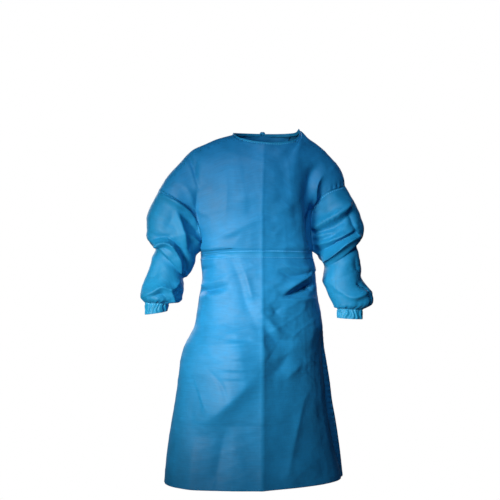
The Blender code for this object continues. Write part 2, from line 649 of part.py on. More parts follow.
def make_hanging_end(name, ups, across, width, lifts):
    """A free end of a tie: it leaves its knot gathered and lies down the back."""
    steps = np.linspace(0, 1, END_STEPS + 1)
    up = np.interp(steps, (0, 1), ups)
    middle = np.interp(steps, (0, 1), across)
    lift = np.interp(steps, (0, END_SETTLED, 1), lifts)
    beyond = body_point(BACK, middle + WIDTH_PROBE, up)
    reach = beyond - body_point(BACK, middle - WIDTH_PROBE, up)
    span = np.linalg.norm(reach, axis=1) / (2 * WIDTH_PROBE)
    gathered = END_GATHERED + (1 - END_GATHERED) * eased(steps / END_SPREAD_OUT)
    half = width / 2 * gathered / span
    points = np.stack([body_point(BACK, middle + off * half, up, lift) for off in (-1, 0, 1)])
    return cloth_piece(name, points, TRIM_COLOUR)


def make_ties():
    waist = body_point(BACK, 0.0, up_of(BELT_CENTRE)) + np.array(BELT_KNOT.offset)
    neck = body_point(BACK, 0.0, 1.0) + np.array(NECK_KNOT.offset)
    pieces = [make_knot("belt_knot", waist, BELT_KNOT.size)]
    pieces.append(make_knot("neck_knot", neck, NECK_KNOT.size))
    for arm in (RIGHT, LEFT):
        word = "left" if arm == LEFT else "right"
        top = BELT_CENTRE - BELT_KNOT.drop
        ups = (up_of(top), up_of(top - BELT_END_LENGTHS[arm]))
        spread = [arm * value for value in BELT_KNOT.spread]
        name = "belt_end_" + word
        pieces.append(make_hanging_end(name, ups, spread, BELT_END_WIDTH, BELT_KNOT.lifts))
        top = NECK_HEIGHT[BACK] - NECK_KNOT.drop
        ups = (back_up_of(top), back_up_of(top - NECK_END_LENGTHS[arm]))
        spread = [arm * value for value in NECK_KNOT.spread]
        name = "neck_end_" + word
        pieces.append(make_hanging_end(name, ups, spread, NECK_END_WIDTH, NECK_KNOT.lifts))
    return pieces


def main():
    for old in list(bpy.data.objects):
        bpy.data.objects.remove(old, do_unlink=True)
    gown = bpy.data.collections.new("surgical_gown")
    bpy.context.scene.collection.children.link(gown)
    pieces = [make_front_panel(), make_neck_binding(), make_belt(), *make_ties()]
    for arm in (RIGHT, LEFT):
        pieces += [make_back_panel(arm), make_sleeve(arm), make_cuff(arm)]
    for piece in pieces:
        gown.objects.link(piece)


main()
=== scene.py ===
"""Looks of the surgical gown: thin nonwoven cloth laid on the form of its solids.

Metres, in the part's own frame. The front faces -Y, +X is the wearer's left. Each piece
is a grid bent onto the same sections that give the solids their form, then creased.
"""

import math
from collections import namedtuple

import bmesh
import bpy
import numpy as np
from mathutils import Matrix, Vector


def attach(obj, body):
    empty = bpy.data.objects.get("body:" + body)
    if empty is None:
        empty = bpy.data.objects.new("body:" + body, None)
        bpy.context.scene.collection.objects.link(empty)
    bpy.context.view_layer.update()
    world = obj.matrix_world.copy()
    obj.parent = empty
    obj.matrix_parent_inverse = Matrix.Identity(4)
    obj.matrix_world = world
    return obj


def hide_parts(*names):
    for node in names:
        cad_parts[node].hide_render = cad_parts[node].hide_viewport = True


# Signs of the two sides of the body along Y, and of the wearer's two arms along X
FRONT, BACK = -1, 1
RIGHT, LEFT = -1, 1
SIDE_WORD = {RIGHT: "right", LEFT: "left"}

# Steps to either side of a place that give the cloth its direction and its width there
PROBE = 0.004
SIDE_STEP = 0.02
TINY = 1e-12

# Cloth thickness: real nonwoven is 0.3 mm, drawn thicker so that its edges show
CLOTH = 0.0007
TRIM_CLOTH = 0.0005
TIE_CLOTH = 0.0006

# Hem and underarm, how far the sections drop towards the sides, and how square they are
HEM = -1.128
UNDERARM = -0.366
SIDE_DROP = 0.010
SQUARENESS = 2.25
ARMHOLE_SQUARENESS = 2.4

# Sections of the body from hem to underarm
BodySection = namedtuple("BodySection", "height half_width front back shift")
BODY_SECTIONS = (
    BodySection(-1.128, 0.2985, 0.160, 0.152, 0.0045),
    BodySection(-1.045, 0.2900, 0.158, 0.150, 0.0040),
    BodySection(-0.935, 0.2740, 0.154, 0.147, 0.0035),
    BodySection(-0.875, 0.2633, 0.151, 0.145, 0.0032),
    BodySection(-0.815, 0.2549, 0.148, 0.143, 0.0040),
    BodySection(-0.736, 0.2431, 0.144, 0.140, 0.0028),
    BodySection(-0.696, 0.2348, 0.141, 0.138, 0.0041),
    BodySection(-0.657, 0.2232, 0.139, 0.135, 0.0122),
    BodySection(-0.618, 0.2133, 0.137, 0.131, 0.0187),
    BodySection(-0.578, 0.2066, 0.135, 0.127, 0.0186),
    BodySection(-0.538, 0.1985, 0.132, 0.122, 0.0170),
    BodySection(-0.459, 0.1890, 0.127, 0.113, 0.0190),
    BodySection(-0.412, 0.1880, 0.122, 0.107, 0.0140),
    BodySection(-0.386, 0.1855, 0.119, 0.104, 0.0126),
    BodySection(-0.360, 0.1905, 0.125, 0.110, 0.0124),
)

# Shoulder line from the neck point out to the armhole, and the armhole's edges from
# the underarm up to the shoulder, both as seen from the front
Outline = namedtuple("Outline", "out height")
SHOULDER = {
    RIGHT: (
        Outline(-0.0689, 0.0058),
        Outline(-0.1287, -0.0125),
        Outline(-0.1617, -0.0278),
        Outline(-0.2012, -0.0465),
        Outline(-0.2470, -0.0929),
        Outline(-0.2829, -0.1324),
        Outline(-0.3121, -0.1783),
    ),
    LEFT: (
        Outline(0.1567, 0.0139),
        Outline(0.1892, -0.0064),
        Outline(0.2355, -0.0409),
        Outline(0.2664, -0.0718),
        Outline(0.2892, -0.0966),
        Outline(0.3015, -0.1200),
        Outline(0.3079, -0.1584),
    ),
}
ARMHOLE = {
    (FRONT, RIGHT): (
        Outline(-0.1780, -0.3760),
        Outline(-0.1873, -0.3024),
        Outline(-0.1998, -0.2707),
        Outline(-0.2351, -0.2310),
        Outline(-0.3121, -0.1783),
    ),
    (FRONT, LEFT): (
        Outline(0.2030, -0.3760),
        Outline(0.1930, -0.2911),
        Outline(0.1975, -0.2359),
        Outline(0.2200, -0.1965),
        Outline(0.3079, -0.1584),
    ),
    (BACK, RIGHT): (
        Outline(-0.1780, -0.3760),
        Outline(-0.1920, -0.3150),
        Outline(-0.2180, -0.2620),
        Outline(-0.2620, -0.2150),
        Outline(-0.3121, -0.1783),
    ),
    (BACK, LEFT): (
        Outline(0.2030, -0.3760),
        Outline(0.2060, -0.3100),
        Outline(0.2230, -0.2500),
        Outline(0.2600, -0.2000),
        Outline(0.3079, -0.1584),
    ),
}
ARM_BULGE = {FRONT: 0.072, BACK: 0.068}
ARM_BULGE_POWER = 3
CHEST_BULGE = {FRONT: 0.010, BACK: 0.014}

# The lower part of an armhole's edge lies deeper by this share, tucked in behind the chest
ARMHOLE_TUCK = {
    (FRONT, RIGHT): 0.30,
    (FRONT, LEFT): 0.85,
    (BACK, RIGHT): 0.0,
    (BACK, LEFT): 0.0,
}
TUCK_TOP = 0.80
TUCK_FADE = 0.35
ROLL = {FRONT: 2.4, BACK: 2.6}

# Neck opening
NECK_SHARE = 5 / 14
NECK_CENTRE = 0.0439
NECK_HALF_WIDTH = 0.1128
NECK_MIDDLE = 0.005
NECK_DEPTH = {FRONT: 0.095, BACK: 0.068}
NECK_HEIGHT = {FRONT: -0.033, BACK: 0.012}
NECK_PEAK_HEIGHT = 0.010
NECK_PART = 0.03
NECK_PEAK_SPREAD = 0.22
NECK_SWEEP = 0.9
NECK_TO_SHOULDER = 0.12
BINDING_SLOPE = (0.45, 0.90)

# Centre back overlap, as a share of the half back, the lift of each layer, and where
# that lift begins to fade and over how much it does, on the panels and under the belt
OVERLAP_SHARE = 0.22
LAYER_LIFT = 0.0022
LAYER_FADE = (0.10, 0.30)
BELT_LAYER_FADE = (0.26, 0.20)

# Sleeves from the armhole to the cuff, each ring from its outer to its inner edge
SleeveRing = namedtuple("SleeveRing", "outer_x outer_z inner_x inner_z middle_y half_depth")
SLEEVE_RINGS = {
    RIGHT: (
        SleeveRing(-0.3121, -0.1783, -0.1780, -0.3760, 0.000, 0.072),
        SleeveRing(-0.3348, -0.2206, -0.1890, -0.3900, 0.000, 0.077),
        SleeveRing(-0.3510, -0.2694, -0.1950, -0.4187, -0.002, 0.078),
        SleeveRing(-0.3513, -0.3083, -0.2083, -0.4447, -0.005, 0.075),
        SleeveRing(-0.3485, -0.3407, -0.2225, -0.4605, -0.010, 0.069),
        SleeveRing(-0.3265, -0.3601, -0.2325, -0.4640, -0.012, 0.060),
        SleeveRing(-0.3363, -0.3988, -0.2330, -0.4832, -0.020, 0.060),
        SleeveRing(-0.3465, -0.4308, -0.2336, -0.5023, -0.027, 0.060),
        SleeveRing(-0.3631, -0.4723, -0.2377, -0.5213, -0.035, 0.060),
        SleeveRing(-0.3731, -0.5039, -0.2449, -0.5370, -0.042, 0.058),
        SleeveRing(-0.3717, -0.5262, -0.2613, -0.5431, -0.045, 0.050),
        SleeveRing(-0.3609, -0.5388, -0.2843, -0.5427, -0.050, 0.034),
    ),
    LEFT: (
        SleeveRing(0.3079, -0.1584, 0.2030, -0.3760, 0.000, 0.072),
        SleeveRing(0.3322, -0.1984, 0.2175, -0.3880, 0.000, 0.077),
        SleeveRing(0.3600, -0.2519, 0.2252, -0.4031, -0.002, 0.077),
        SleeveRing(0.3724, -0.3024, 0.2342, -0.4130, -0.005, 0.073),
        SleeveRing(0.3640, -0.3294, 0.2381, -0.4230, -0.010, 0.067),
        SleeveRing(0.3461, -0.3496, 0.2393, -0.4329, -0.012, 0.060),
        SleeveRing(0.3507, -0.3797, 0.2338, -0.4527, -0.020, 0.060),
        SleeveRing(0.3556, -0.4264, 0.2286, -0.4757, -0.027, 0.060),
        SleeveRing(0.3567, -0.4662, 0.2368, -0.4987, -0.035, 0.059),
        SleeveRing(0.3753, -0.4960, 0.2452, -0.5249, -0.042, 0.058),
        SleeveRing(0.3907, -0.5191, 0.2573, -0.5511, -0.048, 0.056),
        SleeveRing(0.3830, -0.5560, 0.2640, -0.5640, -0.050, 0.048),
        SleeveRing(0.3570, -0.5680, 0.2730, -0.5640, -0.050, 0.036),
    ),
}
SLEEVE_BLEND = 0.16

# Pleats above and on a cuff: their depth, how many go round and the size of each kind,
# and where along the sleeve they begin and over how much they grow
GATHER_DEPTH = 0.0019
PLEATS = ((9, 0.30), (14, 0.45), (23, 0.30), (5, 0.20))
GATHER_START = 0.88
GATHER_RUN = 0.11

# Cuffs: how the pleats sway and swell on them, the elastic's hollow, its place and width
PLEAT_SWAY = (0.10, 5, 3)
PLEAT_SWELL = 0.35
ELASTIC = (0.0012, 0.16, 0.07)

# The lower edge of each cuff, as a ring of the same kind
CUFF_END = {
    RIGHT: SleeveRing(-0.3613, -0.5783, -0.2912, -0.5679, -0.055, 0.031),
    LEFT: SleeveRing(0.3543, -0.6012, 0.2724, -0.5969, -0.055, 0.033),
}

# Belt and ties: the band, its height off the panels, and the free ends
BELT_HEIGHT = 0.024
BELT_CENTRE = -0.386
BELT_OFF = 0.0008
BELT_END_WIDTH = 0.024
BELT_END_LENGTHS = {RIGHT: 0.27, LEFT: 0.31}
NECK_END_WIDTH = 0.010
NECK_END_LENGTHS = {RIGHT: 0.115, LEFT: 0.140}

# A free end leaves its knot at this share of its width, and has spread out and settled
# on the cloth at these shares of its length. Then come how far the belt's ends reach up
# under the knot, each end's sway and its waves, its strips of points across, and the
# depth, turns and fading of its pleats and the height and number of its waves
END_GATHERED = 0.45
END_SPREAD_OUT = 0.25
END_SETTLED = 0.20
END_UNDER_KNOT = 0.004
END_SWAY = (0.004, 5)
END_STRIPS = 13
END_PLEAT = (0.0011, 7.5, 0.5)
END_WAVE = (0.0007, 9)

# The belt's rows from its lower edge to its upper: share of its height, and lift
BELT_ROWS = (
    (-0.5, -0.0008),
    (-0.5, 0.0003),
    (-0.46, 0.0010),
    (-0.30, 0.0),
    (0.0, 0.0001),
    (0.30, 0.0),
    (0.46, 0.0010),
    (0.5, 0.0003),
    (0.5, -0.0008),
)

# Knots: offset from the cloth behind, half sizes, drop to the ends' tops, and how far
# the ends stand aside, as shares of the half back, and off the cloth on their way down
Knot = namedtuple("Knot", "offset size drop spread lifts")
BELT_KNOT = Knot(
    offset=(0.0, 0.0157, 0.0),
    size=(0.020, 0.0095, 0.014),
    drop=0.0148,
    spread=(0.030, 0.100),
    lifts=(0.0120, 0.0105, 0.0090),
)
NECK_KNOT = Knot(
    offset=(0.0, 0.0054, 0.0074),
    size=(0.010, 0.0060, 0.007),
    drop=0.0021,
    spread=(0.008, 0.055),
    lifts=(0.0050, 0.0060, 0.0060),
)

# Turns of cloth on a knot: how many, their slant, twist and shift, where one crosses the
# other, their height, and the depth and narrowness of the knot's waist
KNOT_TURNS = 9
KNOT_SLANT = (0.8, 0.6)
KNOT_TWIST = 2.5
KNOT_SHIFT = 1.0
KNOT_CROSSING = (8, 0.3)
KNOT_FOLD = 0.10
KNOT_WAIST = (0.12, 2.4)

# Steps of the cloth's grids, about 4 mm, and samples across a corner of the top edge
BODY_STEPS = 164
SLEEVE_STEPS = 130
SLEEVE_TURNS = 168
CUFF_STEPS = 20
CUFF_TURNS = 220
NECK_STEPS = 48
END_STEPS = 90
CORNER_SAMPLES = 9

# Heights that a row of the body's grid passes through: the packing's level folds and the
# belt's edges below the underarm, a fold of the chest above it, and the steps between
ROW_HEIGHTS = (-0.9255, -0.6718, -0.398, -0.374)
CHEST_FOLD = -0.1190
ROW_STEPS = (50, 62, 66, 6, 3, 56, 24)

# Binding: half its thickness, its legs from low to top, and the waver of their lower
# edges as height, length of a wave over two pi, and shift
BINDING_HALF = 0.0011
BINDING_LOW = -0.0035
BINDING_TOP = 0.0062
BINDING_LEG_ROWS = 6
BINDING_TURN_ROWS = 9
BINDING_WAVER = ((0.0005, 0.0045, 0.0), (0.0006, 0.017, 1.0))
BINDING_WAVER_REACH = 0.012

# Puckers beside a seam: how deep, how far they reach from it, and their pitch along it
Pucker = namedtuple("Pucker", "depth reach pitch")
SEAM_PUCKER = Pucker(0.0008, 0.006, 0.011)
SLEEVE_PUCKER = Pucker(0.0012, 0.009, 0.011)
SHOULDER_PUCKER = Pucker(0.004, 0.018, 0.019)
SHOULDER_PUCKER_MIDDLE = 0.262
SHOULDER_PUCKER_SPREAD = 0.030
FINER_PUCKER_SIZE = 0.5
FINER_PUCKER_PITCH = 0.37
SEAM_ITSELF = 0.0004

# Shades of the web: where each lies in the noise and its share of the cloth's colour, and
# how much smoother and rougher than named the cloth gets with it
SHADES = ((0.35, 0.84), (0.65, 1.14))
SMOOTHER = 0.05
ROUGHER = 0.08

# Marks of the web: pitch of the bond dots, pitch and half width of the weld marks, the
# level of their wave above which one is drawn, and how much lighter they are drawn: partly
# the pressed film's own tone, partly painted highlight for the light that the belt's edges
# and the seams' gathers catch
DOT_PITCH = 0.005
WELD_PITCH = 0.008
WELD_HALF_WIDTH = 0.0013
WELD_LEVEL = -0.4
WELD_HIGHLIGHT_GAIN = 1.6
WELD_HIGHLIGHT_HAZE = 0.045

# Points nearer than this are one where a tube of cloth closes on itself
JOIN = 0.00001

# Studio: the camera's turn, side step, distance, height and lens, the floor, and the
# lights with their place, aim, size, power, colour and spread
VIEW_TURN = math.radians(-10)
VIEW_ASIDE = -0.012
VIEW_DISTANCE = 3.3
VIEW_HEIGHT = -0.373
VIEW_SENSOR = 36.0
VIEW_LENS = 72.0
FLOOR = -1.45
FLOOR_RADIUS = 0.95
FLOOR_SIDES = 96
AMBIENT = 0.022
AMBIENT_COLOUR = (0.45, 0.60, 1.0)
LIGHTS = (
    ("key", (-1.58, -1.68, -0.24), (0.0, -0.10, -0.60), (0.7, 0.6), 3.5, (1.0, 0.97, 0.88), 33),
    ("fill", (-0.60, -2.30, 1.30), (0.10, 0.0, -0.13), (1.0, 0.8), 2.0, (0.66, 0.82, 1.0), 38),
    ("front", (-0.30, -2.60, 0.0), (0.0, 0.0, -0.60), (1.4, 1.4), 0.85, (0.22, 0.38, 1.0), 90),
    ("back", (-0.90, 2.50, 0.30), (0.0, 0.0, -0.50), (1.4, 1.4), 12.0, (1.0, 1.0, 1.0), 110),
    ("left_side", (1.30, 2.20, 0.20), (0.0, 0.0, -0.60), (1.3, 1.3), 4.0, (0.95, 0.98, 1.0), 90),
)

# A crease: its width to the left and right of its travel, how crisp its crest is, then
# its path as x, z and rise, negative for a trough, with the steps drawn along it
CREASE_STEPS = 14

# Small level wrinkles on the lit thigh share their widths and crispness
WRINKLE = (0.0045, 0.0045, 1.2)
THIGH_WRINKLES = (
    ((-0.1016, -0.6415, 0.0), (-0.0659, -0.6441, 0.0014), (-0.0301, -0.6404, 0.0)),
    ((-0.1122, -0.6568, 0.0), (-0.067, -0.6554, -0.0022), (-0.0215, -0.6596, 0.0)),
    ((-0.1087, -0.6667, 0.0), (-0.0695, -0.6694, 0.0018), (-0.0301, -0.6658, 0.0)),
    ((-0.1122, -0.6863, 0.0), (-0.0748, -0.6848, -0.0012), (-0.0373, -0.689, 0.0)),
    ((-0.1158, -0.7123, 0.0), (-0.073, -0.7152, 0.0016), (-0.0301, -0.7117, 0.0)),
    ((-0.1016, -0.7245, 0.0), (-0.0623, -0.7231, -0.0014), (-0.0229, -0.7274, 0.0)),
    ((-0.1371, -0.7477, 0.0), (-0.0802, -0.751, 0.0018), (-0.0229, -0.7479, 0.0)),
    ((-0.13, -0.7576, 0.0), (-0.0802, -0.7566, -0.002), (-0.0301, -0.7612, 0.0)),
    ((-0.1371, -0.7729, 0.0), (-0.0873, -0.7762, 0.0014), (-0.0373, -0.773, 0.0)),
    ((-0.1229, -0.7845, 0.0), (-0.0873, -0.7832, -0.0014), (-0.0516, -0.7875, 0.0)),
)
BODY_CREASES = {
    FRONT: (
        # centre ridge from the packing, and the packing's level folds
        (0.036, 0.036, 1.0, (0.0154, -0.03, 0.005), (0.0042, -0.2146, 0.006),
         (0.0045, -0.373, 0.006), (0.0001, -0.689, 0.007), (-0.0037, -1.135, 0.006)),
        (0.0045, 0.0045, 1.2, (0.0154, -0.03, 0.001), (0.0042, -0.2146, 0.001),
         (0.0045, -0.373, 0.0012), (0.0001, -0.689, 0.0012), (-0.0037, -1.135, 0.001)),
        (0.006, 0.004, 1.0, (-0.128, -0.1216, 0.0), (-0.06, -0.1197, 0.0012),
         (0.002, -0.119, 0.0013), (0.12, -0.12, 0.0)),
        (0.005, 0.006, 1.0, (-0.15, -0.674, 0.0), (-0.058, -0.6713, 0.0013),
         (0.002, -0.6718, 0.0014), (0.11, -0.674, 0.0)),
        (0.005, 0.006, 1.0, (-0.23, -0.9237, 0.0), (-0.106, -0.9257, -0.0012),
         (0.022, -0.9253, -0.0012), (0.17, -0.925, 0.0)),
        # right shoulder
        (0.012, 0.02, 1.6, (-0.236, -0.095, -0.003), (-0.2233, -0.1207, -0.009),
         (-0.2141, -0.1453, -0.009), (-0.193, -0.175, 0.0)),
        (0.01, 0.012, 1.6, (-0.1914, -0.062, 0.0), (-0.2018, -0.1062, -0.007), (-0.2, -0.15, 0.0)),
        (0.01, 0.01, 1.4, (-0.208, -0.08, 0.0), (-0.214, -0.116, 0.005), (-0.203, -0.16, 0.005),
         (-0.188, -0.19, 0.0)),
        (0.012, 0.007, 1.3, (-0.242, -0.16, 0.0), (-0.218, -0.195, 0.006), (-0.196, -0.225, 0.0)),
        (0.01, 0.007, 1.3, (-0.23, -0.195, 0.0), (-0.206, -0.23, 0.006), (-0.193, -0.265, 0.0)),
        (0.006, 0.012, 1.4, (-0.196, -0.19, -0.004), (-0.1985, -0.25, -0.01),
         (-0.192, -0.33, -0.006)),
        # left shoulder: a dark trough with a bright ridge beside the armhole
        (0.016, 0.022, 1.7, (0.22, -0.095, 0.0), (0.183, -0.118, -0.01), (0.169, -0.1758, -0.013),
         (0.164, -0.2303, -0.012), (0.18, -0.2924, -0.01), (0.188, -0.334, -0.004)),
        (0.012, 0.01, 1.3, (0.215, -0.13, 0.004), (0.193, -0.16, 0.018), (0.189, -0.19, 0.02),
         (0.196, -0.23, 0.008)),
        (0.009, 0.009, 1.5, (0.184, -0.235, 0.004), (0.185, -0.27, 0.006), (0.193, -0.31, 0.0)),
        (0.009, 0.013, 1.3, (0.1888, -0.23, -0.016), (0.1878, -0.285, -0.04),
         (0.1878, -0.34, -0.04), (0.1967, -0.3813, -0.02)),
        # the trough beside the right armhole
        (0.01, 0.008, 1.3, (-0.2223, -0.058, 0.0), (-0.2165, -0.087, -0.013),
         (-0.2065, -0.1277, -0.013), (-0.193, -0.1741, -0.004)),
        # chest: broad soft hollows and swells
        (0.02, 0.018, 2.0, (-0.055, -0.203, 0.003), (0.04, -0.208, 0.003)),
        (0.022, 0.02, 2.0, (-0.03, -0.248, -0.004), (0.03, -0.265, -0.004)),
        (0.012, 0.02, 1.4, (-0.11, -0.1, 0.0), (-0.105, -0.2, 0.003), (-0.12, -0.31, 0.0)),
        (0.03, 0.026, 2.0, (0.06, -0.06, 0.0), (0.08, -0.16, -0.004), (0.06, -0.23, 0.0)),
        (0.014, 0.026, 1.6, (-0.14, -0.33, 0.0), (-0.0907, -0.313, 0.0035),
         (-0.0135, -0.275, 0.002)),
        (0.014, 0.016, 1.6, (-0.13, -0.352, 0.0), (-0.08, -0.33, -0.0022), (-0.02, -0.305, 0.0)),
        (0.014, 0.02, 1.8, (0.03, -0.24, 0.0), (0.085, -0.235, 0.004), (0.12, -0.26, 0.0)),
        (0.02, 0.024, 2.0, (0.15, -0.33, 0.0), (0.12, -0.26, -0.005), (0.115, -0.2, 0.0)),
        # the waist, where the cloth blouses over the belt
        (0.016, 0.016, 1.8, (-0.186, -0.366, 0.005), (-0.14, -0.364, 0.006), (-0.08, -0.362, 0.0)),
        (0.006, 0.007, 1.3, (-0.19, -0.396, -0.006), (-0.144, -0.3893, -0.008),
         (-0.088, -0.3858, 0.0)),
        (0.016, 0.014, 1.8, (0.06, -0.362, 0.0), (0.12, -0.36, 0.004), (0.19, -0.366, 0.004)),
        # pulls below the waist on the left
        (0.016, 0.008, 1.2, (0.0463, -0.4323, 0.0), (0.094, -0.4275, 0.007),
         (0.1568, -0.4378, 0.008)),
        (0.008, 0.012, 1.4, (0.0537, -0.4403, 0.0), (0.1051, -0.4577, -0.011),
         (0.1605, -0.4493, -0.009)),
        (0.026, 0.012, 1.2, (0.0683, -0.5165, 0.002), (0.0904, -0.4994, 0.013),
         (0.1272, -0.4759, 0.018), (0.1679, -0.4551, 0.014)),
        (0.016, 0.008, 1.4, (0.0683, -0.5223, -0.002), (0.1162, -0.5111, -0.02),
         (0.1679, -0.4942, -0.028)),
        (0.005, 0.018, 1.3, (0.0647, -0.528, 0.003), (0.1235, -0.5328, 0.008),
         (0.1828, -0.5275, 0.006)),
        (0.01, 0.012, 1.5, (0.0079, -0.4856, 0.0), (0.048, -0.4801, 0.005),
         (0.0809, -0.4681, 0.0)),
        (0.012, 0.008, 1.3, (0.0271, -0.5381, 0.0), (0.0445, -0.5683, -0.004)),
        (0.008, 0.014, 1.3, (0.046, -0.5697, -0.004), (0.0751, -0.5443, 0.0)),
        (0.014, 0.016, 1.4, (0.006, -0.5707, 0.0), (0.0387, -0.621, 0.008),
         (0.0751, -0.6429, 0.002)),
        (0.012, 0.024, 1.5, (-0.0012, -0.6062, -0.003), (0.046, -0.6568, -0.009),
         (0.119, -0.6651, 0.0)),
        # pulls below the waist on the right
        (0.008, 0.01, 1.3, (-0.1776, -0.4372, -0.006), (-0.1161, -0.4173, 0.0)),
        (0.009, 0.009, 1.3, (-0.176, -0.4898, 0.006), (-0.1284, -0.4715, 0.005),
         (-0.0922, -0.466, 0.0)),
        (0.007, 0.01, 1.3, (-0.1832, -0.504, -0.01), (-0.1429, -0.4979, -0.01),
         (-0.0922, -0.4832, 0.0)),
        (0.009, 0.014, 1.5, (-0.1789, -0.5226, 0.003), (-0.1357, -0.5187, 0.004),
         (-0.0922, -0.5076, 0.0)),
        (0.016, 0.018, 1.6, (-0.0898, -0.4011, -0.003), (-0.0726, -0.4493, -0.004),
         (-0.0582, -0.492, -0.004), (-0.0467, -0.5432, -0.005), (-0.0229, -0.5988, -0.002)),
        (0.01, 0.01, 1.5, (-0.0697, -0.4011, 0.0), (-0.0482, -0.4494, 0.003),
         (-0.0337, -0.5063, 0.004), (-0.0265, -0.5433, 0.0)),
        # the thigh that pushes the skirt forward, its lower edge and its sides
        (0.06, 0.03, 1.6, (-0.215, -0.905, 0.002), (-0.1657, -0.906, 0.013),
         (-0.115, -0.864, 0.02), (-0.065, -0.8136, 0.016), (-0.01, -0.745, 0.004)),
        (0.045, 0.04, 2.0, (-0.08, -0.64, 0.002), (-0.068, -0.72, 0.007), (-0.075, -0.79, 0.0)),
        (0.085, 0.085, 2.0, (-0.095, -0.59, 0.0), (-0.1, -0.7, 0.02), (-0.105, -0.85, 0.012)),
        (0.006, 0.006, 1.2, (-0.2208, -0.6836, 0.0), (-0.1875, -0.694, -0.0026),
         (-0.1541, -0.7116, 0.0)),
        (0.006, 0.006, 1.2, (-0.1711, -0.7404, 0.0), (-0.1299, -0.787, -0.003),
         (-0.1143, -0.8227, -0.003), (-0.11, -0.8545, 0.0)),
        *((*WRINKLE, *path) for path in THIGH_WRINKLES),
        # skirt: the dark side, the centre swell and its falls
        (0.2, 0.165, 1.5, (0.191, -0.6276, -0.006), (0.2076, -0.7378, -0.022),
         (0.2287, -0.8997, -0.03), (0.2438, -1.0176, -0.028), (0.2544, -1.1135, -0.012)),
        (0.075, 0.09, 1.3, (0.0045, -0.4, 0.0), (0.0001, -0.64, 0.014), (-0.002, -0.9, 0.015),
         (-0.0037, -1.135, 0.014)),
        (0.016, 0.022, 1.5, (0.1484, -0.7301, 0.0), (0.1117, -0.758, 0.007),
         (0.0678, -0.7893, 0.0)),
        (0.016, 0.022, 1.6, (0.097, -0.6933, 0.0), (0.0678, -0.7357, -0.005),
         (0.0169, -0.7846, 0.0)),
        (0.014, 0.02, 1.4, (0.1668, -0.8167, 0.0), (0.1337, -0.9019, 0.004),
         (0.1044, -1.0013, 0.005), (0.0861, -1.0793, 0.002)),
        (0.03, 0.022, 1.5, (-0.1051, -0.9059, 0.0), (-0.1264, -0.9895, -0.008),
         (-0.1442, -1.0802, -0.007)),
        (0.04, 0.02, 1.6, (-0.0802, -0.9137, 0.0), (-0.0909, -0.9908, 0.003),
         (-0.098, -1.089, 0.003)),
        (0.03, 0.022, 1.7, (-0.2, -0.96, 0.0), (-0.215, -1.04, 0.006), (-0.22, -1.13, 0.006)),
    ),
    BACK: (
        # back: long falls below the belt, pulls above it
        (0.034, 0.03, 1.6, (-0.08, -0.402, 0.004), (-0.105, -0.7, 0.016), (-0.14, -1.13, 0.017)),
        (0.026, 0.024, 1.8, (-0.03, -0.41, -0.002), (-0.036, -0.7, -0.011),
         (-0.05, -1.13, -0.012)),
        (0.036, 0.03, 1.6, (0.1, -0.402, 0.004), (0.125, -0.7, 0.015), (0.16, -1.13, 0.016)),
        (0.028, 0.024, 1.8, (0.05, -0.41, -0.002), (0.064, -0.7, -0.01), (0.085, -1.13, -0.012)),
        (0.028, 0.024, 1.8, (-0.13, -0.402, -0.002), (-0.175, -0.7, -0.01),
         (-0.215, -1.13, -0.012)),
        (0.028, 0.024, 1.8, (0.15, -0.402, -0.002), (0.19, -0.7, -0.01), (0.232, -1.13, -0.012)),
        (0.02, 0.016, 1.6, (-0.205, -0.09, 0.0), (-0.18, -0.21, -0.012), (-0.172, -0.33, -0.004)),
        (0.016, 0.02, 1.6, (0.215, -0.09, 0.0), (0.19, -0.21, -0.012), (0.184, -0.33, -0.004)),
        (0.018, 0.014, 1.5, (-0.15, -0.3, 0.0), (-0.1, -0.345, 0.008), (-0.05, -0.368, 0.003)),
        (0.014, 0.018, 1.5, (0.16, -0.3, 0.0), (0.11, -0.345, 0.008), (0.06, -0.368, 0.003)),
        (0.018, 0.024, 1.6, (-0.11, -0.13, 0.0), (-0.06, -0.19, 0.004), (0.01, -0.215, 0.006),
         (0.08, -0.19, 0.004), (0.13, -0.13, 0.0)),
        (0.01, 0.012, 1.5, (-0.12, -0.48, 0.0), (-0.06, -0.45, -0.004), (0.0, -0.415, 0.0)),
        (0.012, 0.01, 1.5, (0.13, -0.49, 0.0), (0.07, -0.455, -0.004), (0.01, -0.415, 0.0)),
    ),
}
